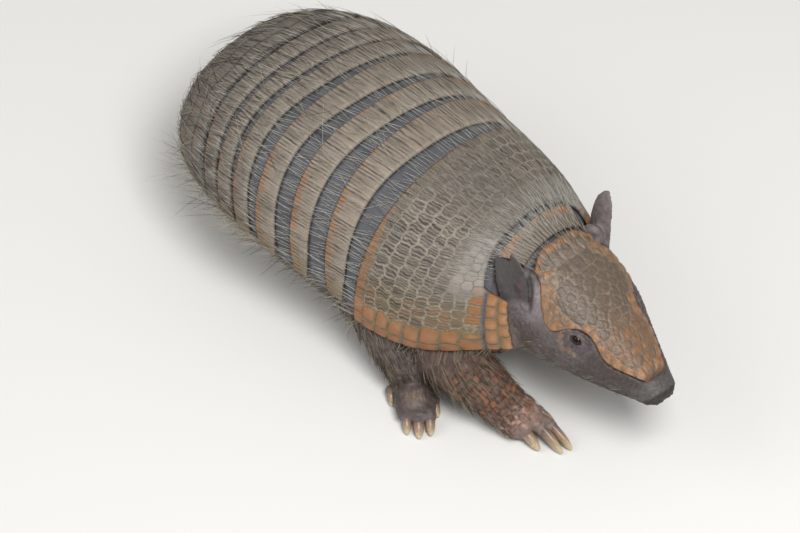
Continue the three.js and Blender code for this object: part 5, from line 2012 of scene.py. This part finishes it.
coat = []
for name, batches in hair.items():
    lines, *looks = (np.concatenate(batch) for batch in zip(*batches))
    for part, start in enumerate(range(0, len(lines), PIECE_LIMIT)):
        cut = slice(start, start + PIECE_LIMIT)
        cut_looks = [look[cut] for look in looks]
        piece = bristles(f"bristles_{name}_{part + 1}", within_reach(lines[cut]), *cut_looks, 400 + part)
        coat.append(wear(piece, dry_bristle))
print("coat:", len(coat), "pieces,", sum(triangles(c) for c in coat), "triangles")

# %% [markdown]
# ## Floor, light and camera
# The floor is a plain pale sheet that shows white to the camera and still takes the model's shadow. Two large
# soft lamps and an even sky light the model at a plain level, so a colour renders about as it is written. The
# camera stands well back with a long lens, off the animal's right shoulder and high above it.

# %% Floor and light
bpy.ops.object.select_all(action="DESELECT")
bpy.ops.mesh.primitive_plane_add(size=14, location=(0, 0, -0.0004))
floor = bpy.context.object
floor.name = "studio_floor"
paper = bpy.data.materials.new("matt_white_paper")
paper.use_nodes = True
paper_shader = paper.node_tree.nodes["Principled BSDF"]
paper_shader.inputs["Base Color"].default_value = (*linear("#e9e8e5"), 1)
paper_shader.inputs["Roughness"].default_value = 0.9
floor.data.materials.append(paper)


def from_angles(azimuth, elevation):
    """The direction toward a lamp or camera, from its azimuth and elevation in degrees."""
    az, el = math.radians(azimuth), math.radians(elevation)
    return np.array([math.sin(az) * math.cos(el), -math.cos(az) * math.cos(el), math.sin(el)])


def look_along(obj, way):
    """Turn a lamp or camera so that it looks along a direction, with its top upward."""
    obj.rotation_mode = "QUATERNION"
    obj.rotation_quaternion = Vector(way).to_track_quat("-Z", "Y")


def lamp(name, azimuth, elevation, distance, size, watts, aim=(0, 0, 0.06)):
    """A square soft lamp that faces the model."""
    data = bpy.data.lights.new(name, "AREA")
    data.shape, data.size, data.energy = "SQUARE", size, watts
    obj = bpy.data.objects.new(name, data)
    bpy.context.scene.collection.objects.link(obj)
    way = from_angles(azimuth, elevation)
    obj.location = np.array(aim) + way * distance
    look_along(obj, -way)
    return obj


lamp("key_lamp", 62, 58, 1.9, 0.7, 28)
lamp("fill_lamp", -40, 40, 2.2, 1.4, 9)
world = bpy.data.worlds.new("studio_sky")
bpy.context.scene.world = world
world.use_nodes = True
world.node_tree.nodes["Background"].inputs["Color"].default_value = (1, 1, 1, 1)
world.node_tree.nodes["Background"].inputs["Strength"].default_value = 0.4
bpy.context.scene.view_settings.view_transform = "Standard"
print("floor and light set")

# %% Camera
CAMERA = {"azimuth": 43.7, "elevation": 48.92, "distance": 2.8086, "aim": (-0.0008, -0.0405, 0.0511),
          "lens": 183.5}
to_camera = from_angles(CAMERA["azimuth"], CAMERA["elevation"])
camera_data = bpy.data.cameras.new("camera")
camera_data.lens = CAMERA["lens"]
camera_data.clip_end = 50
camera = bpy.data.objects.new("camera", camera_data)
bpy.context.scene.collection.objects.link(camera)
camera.location = np.array(CAMERA["aim"]) + to_camera * CAMERA["distance"]
look_along(camera, -to_camera)
bpy.context.scene.camera = camera
print("camera", CAMERA)
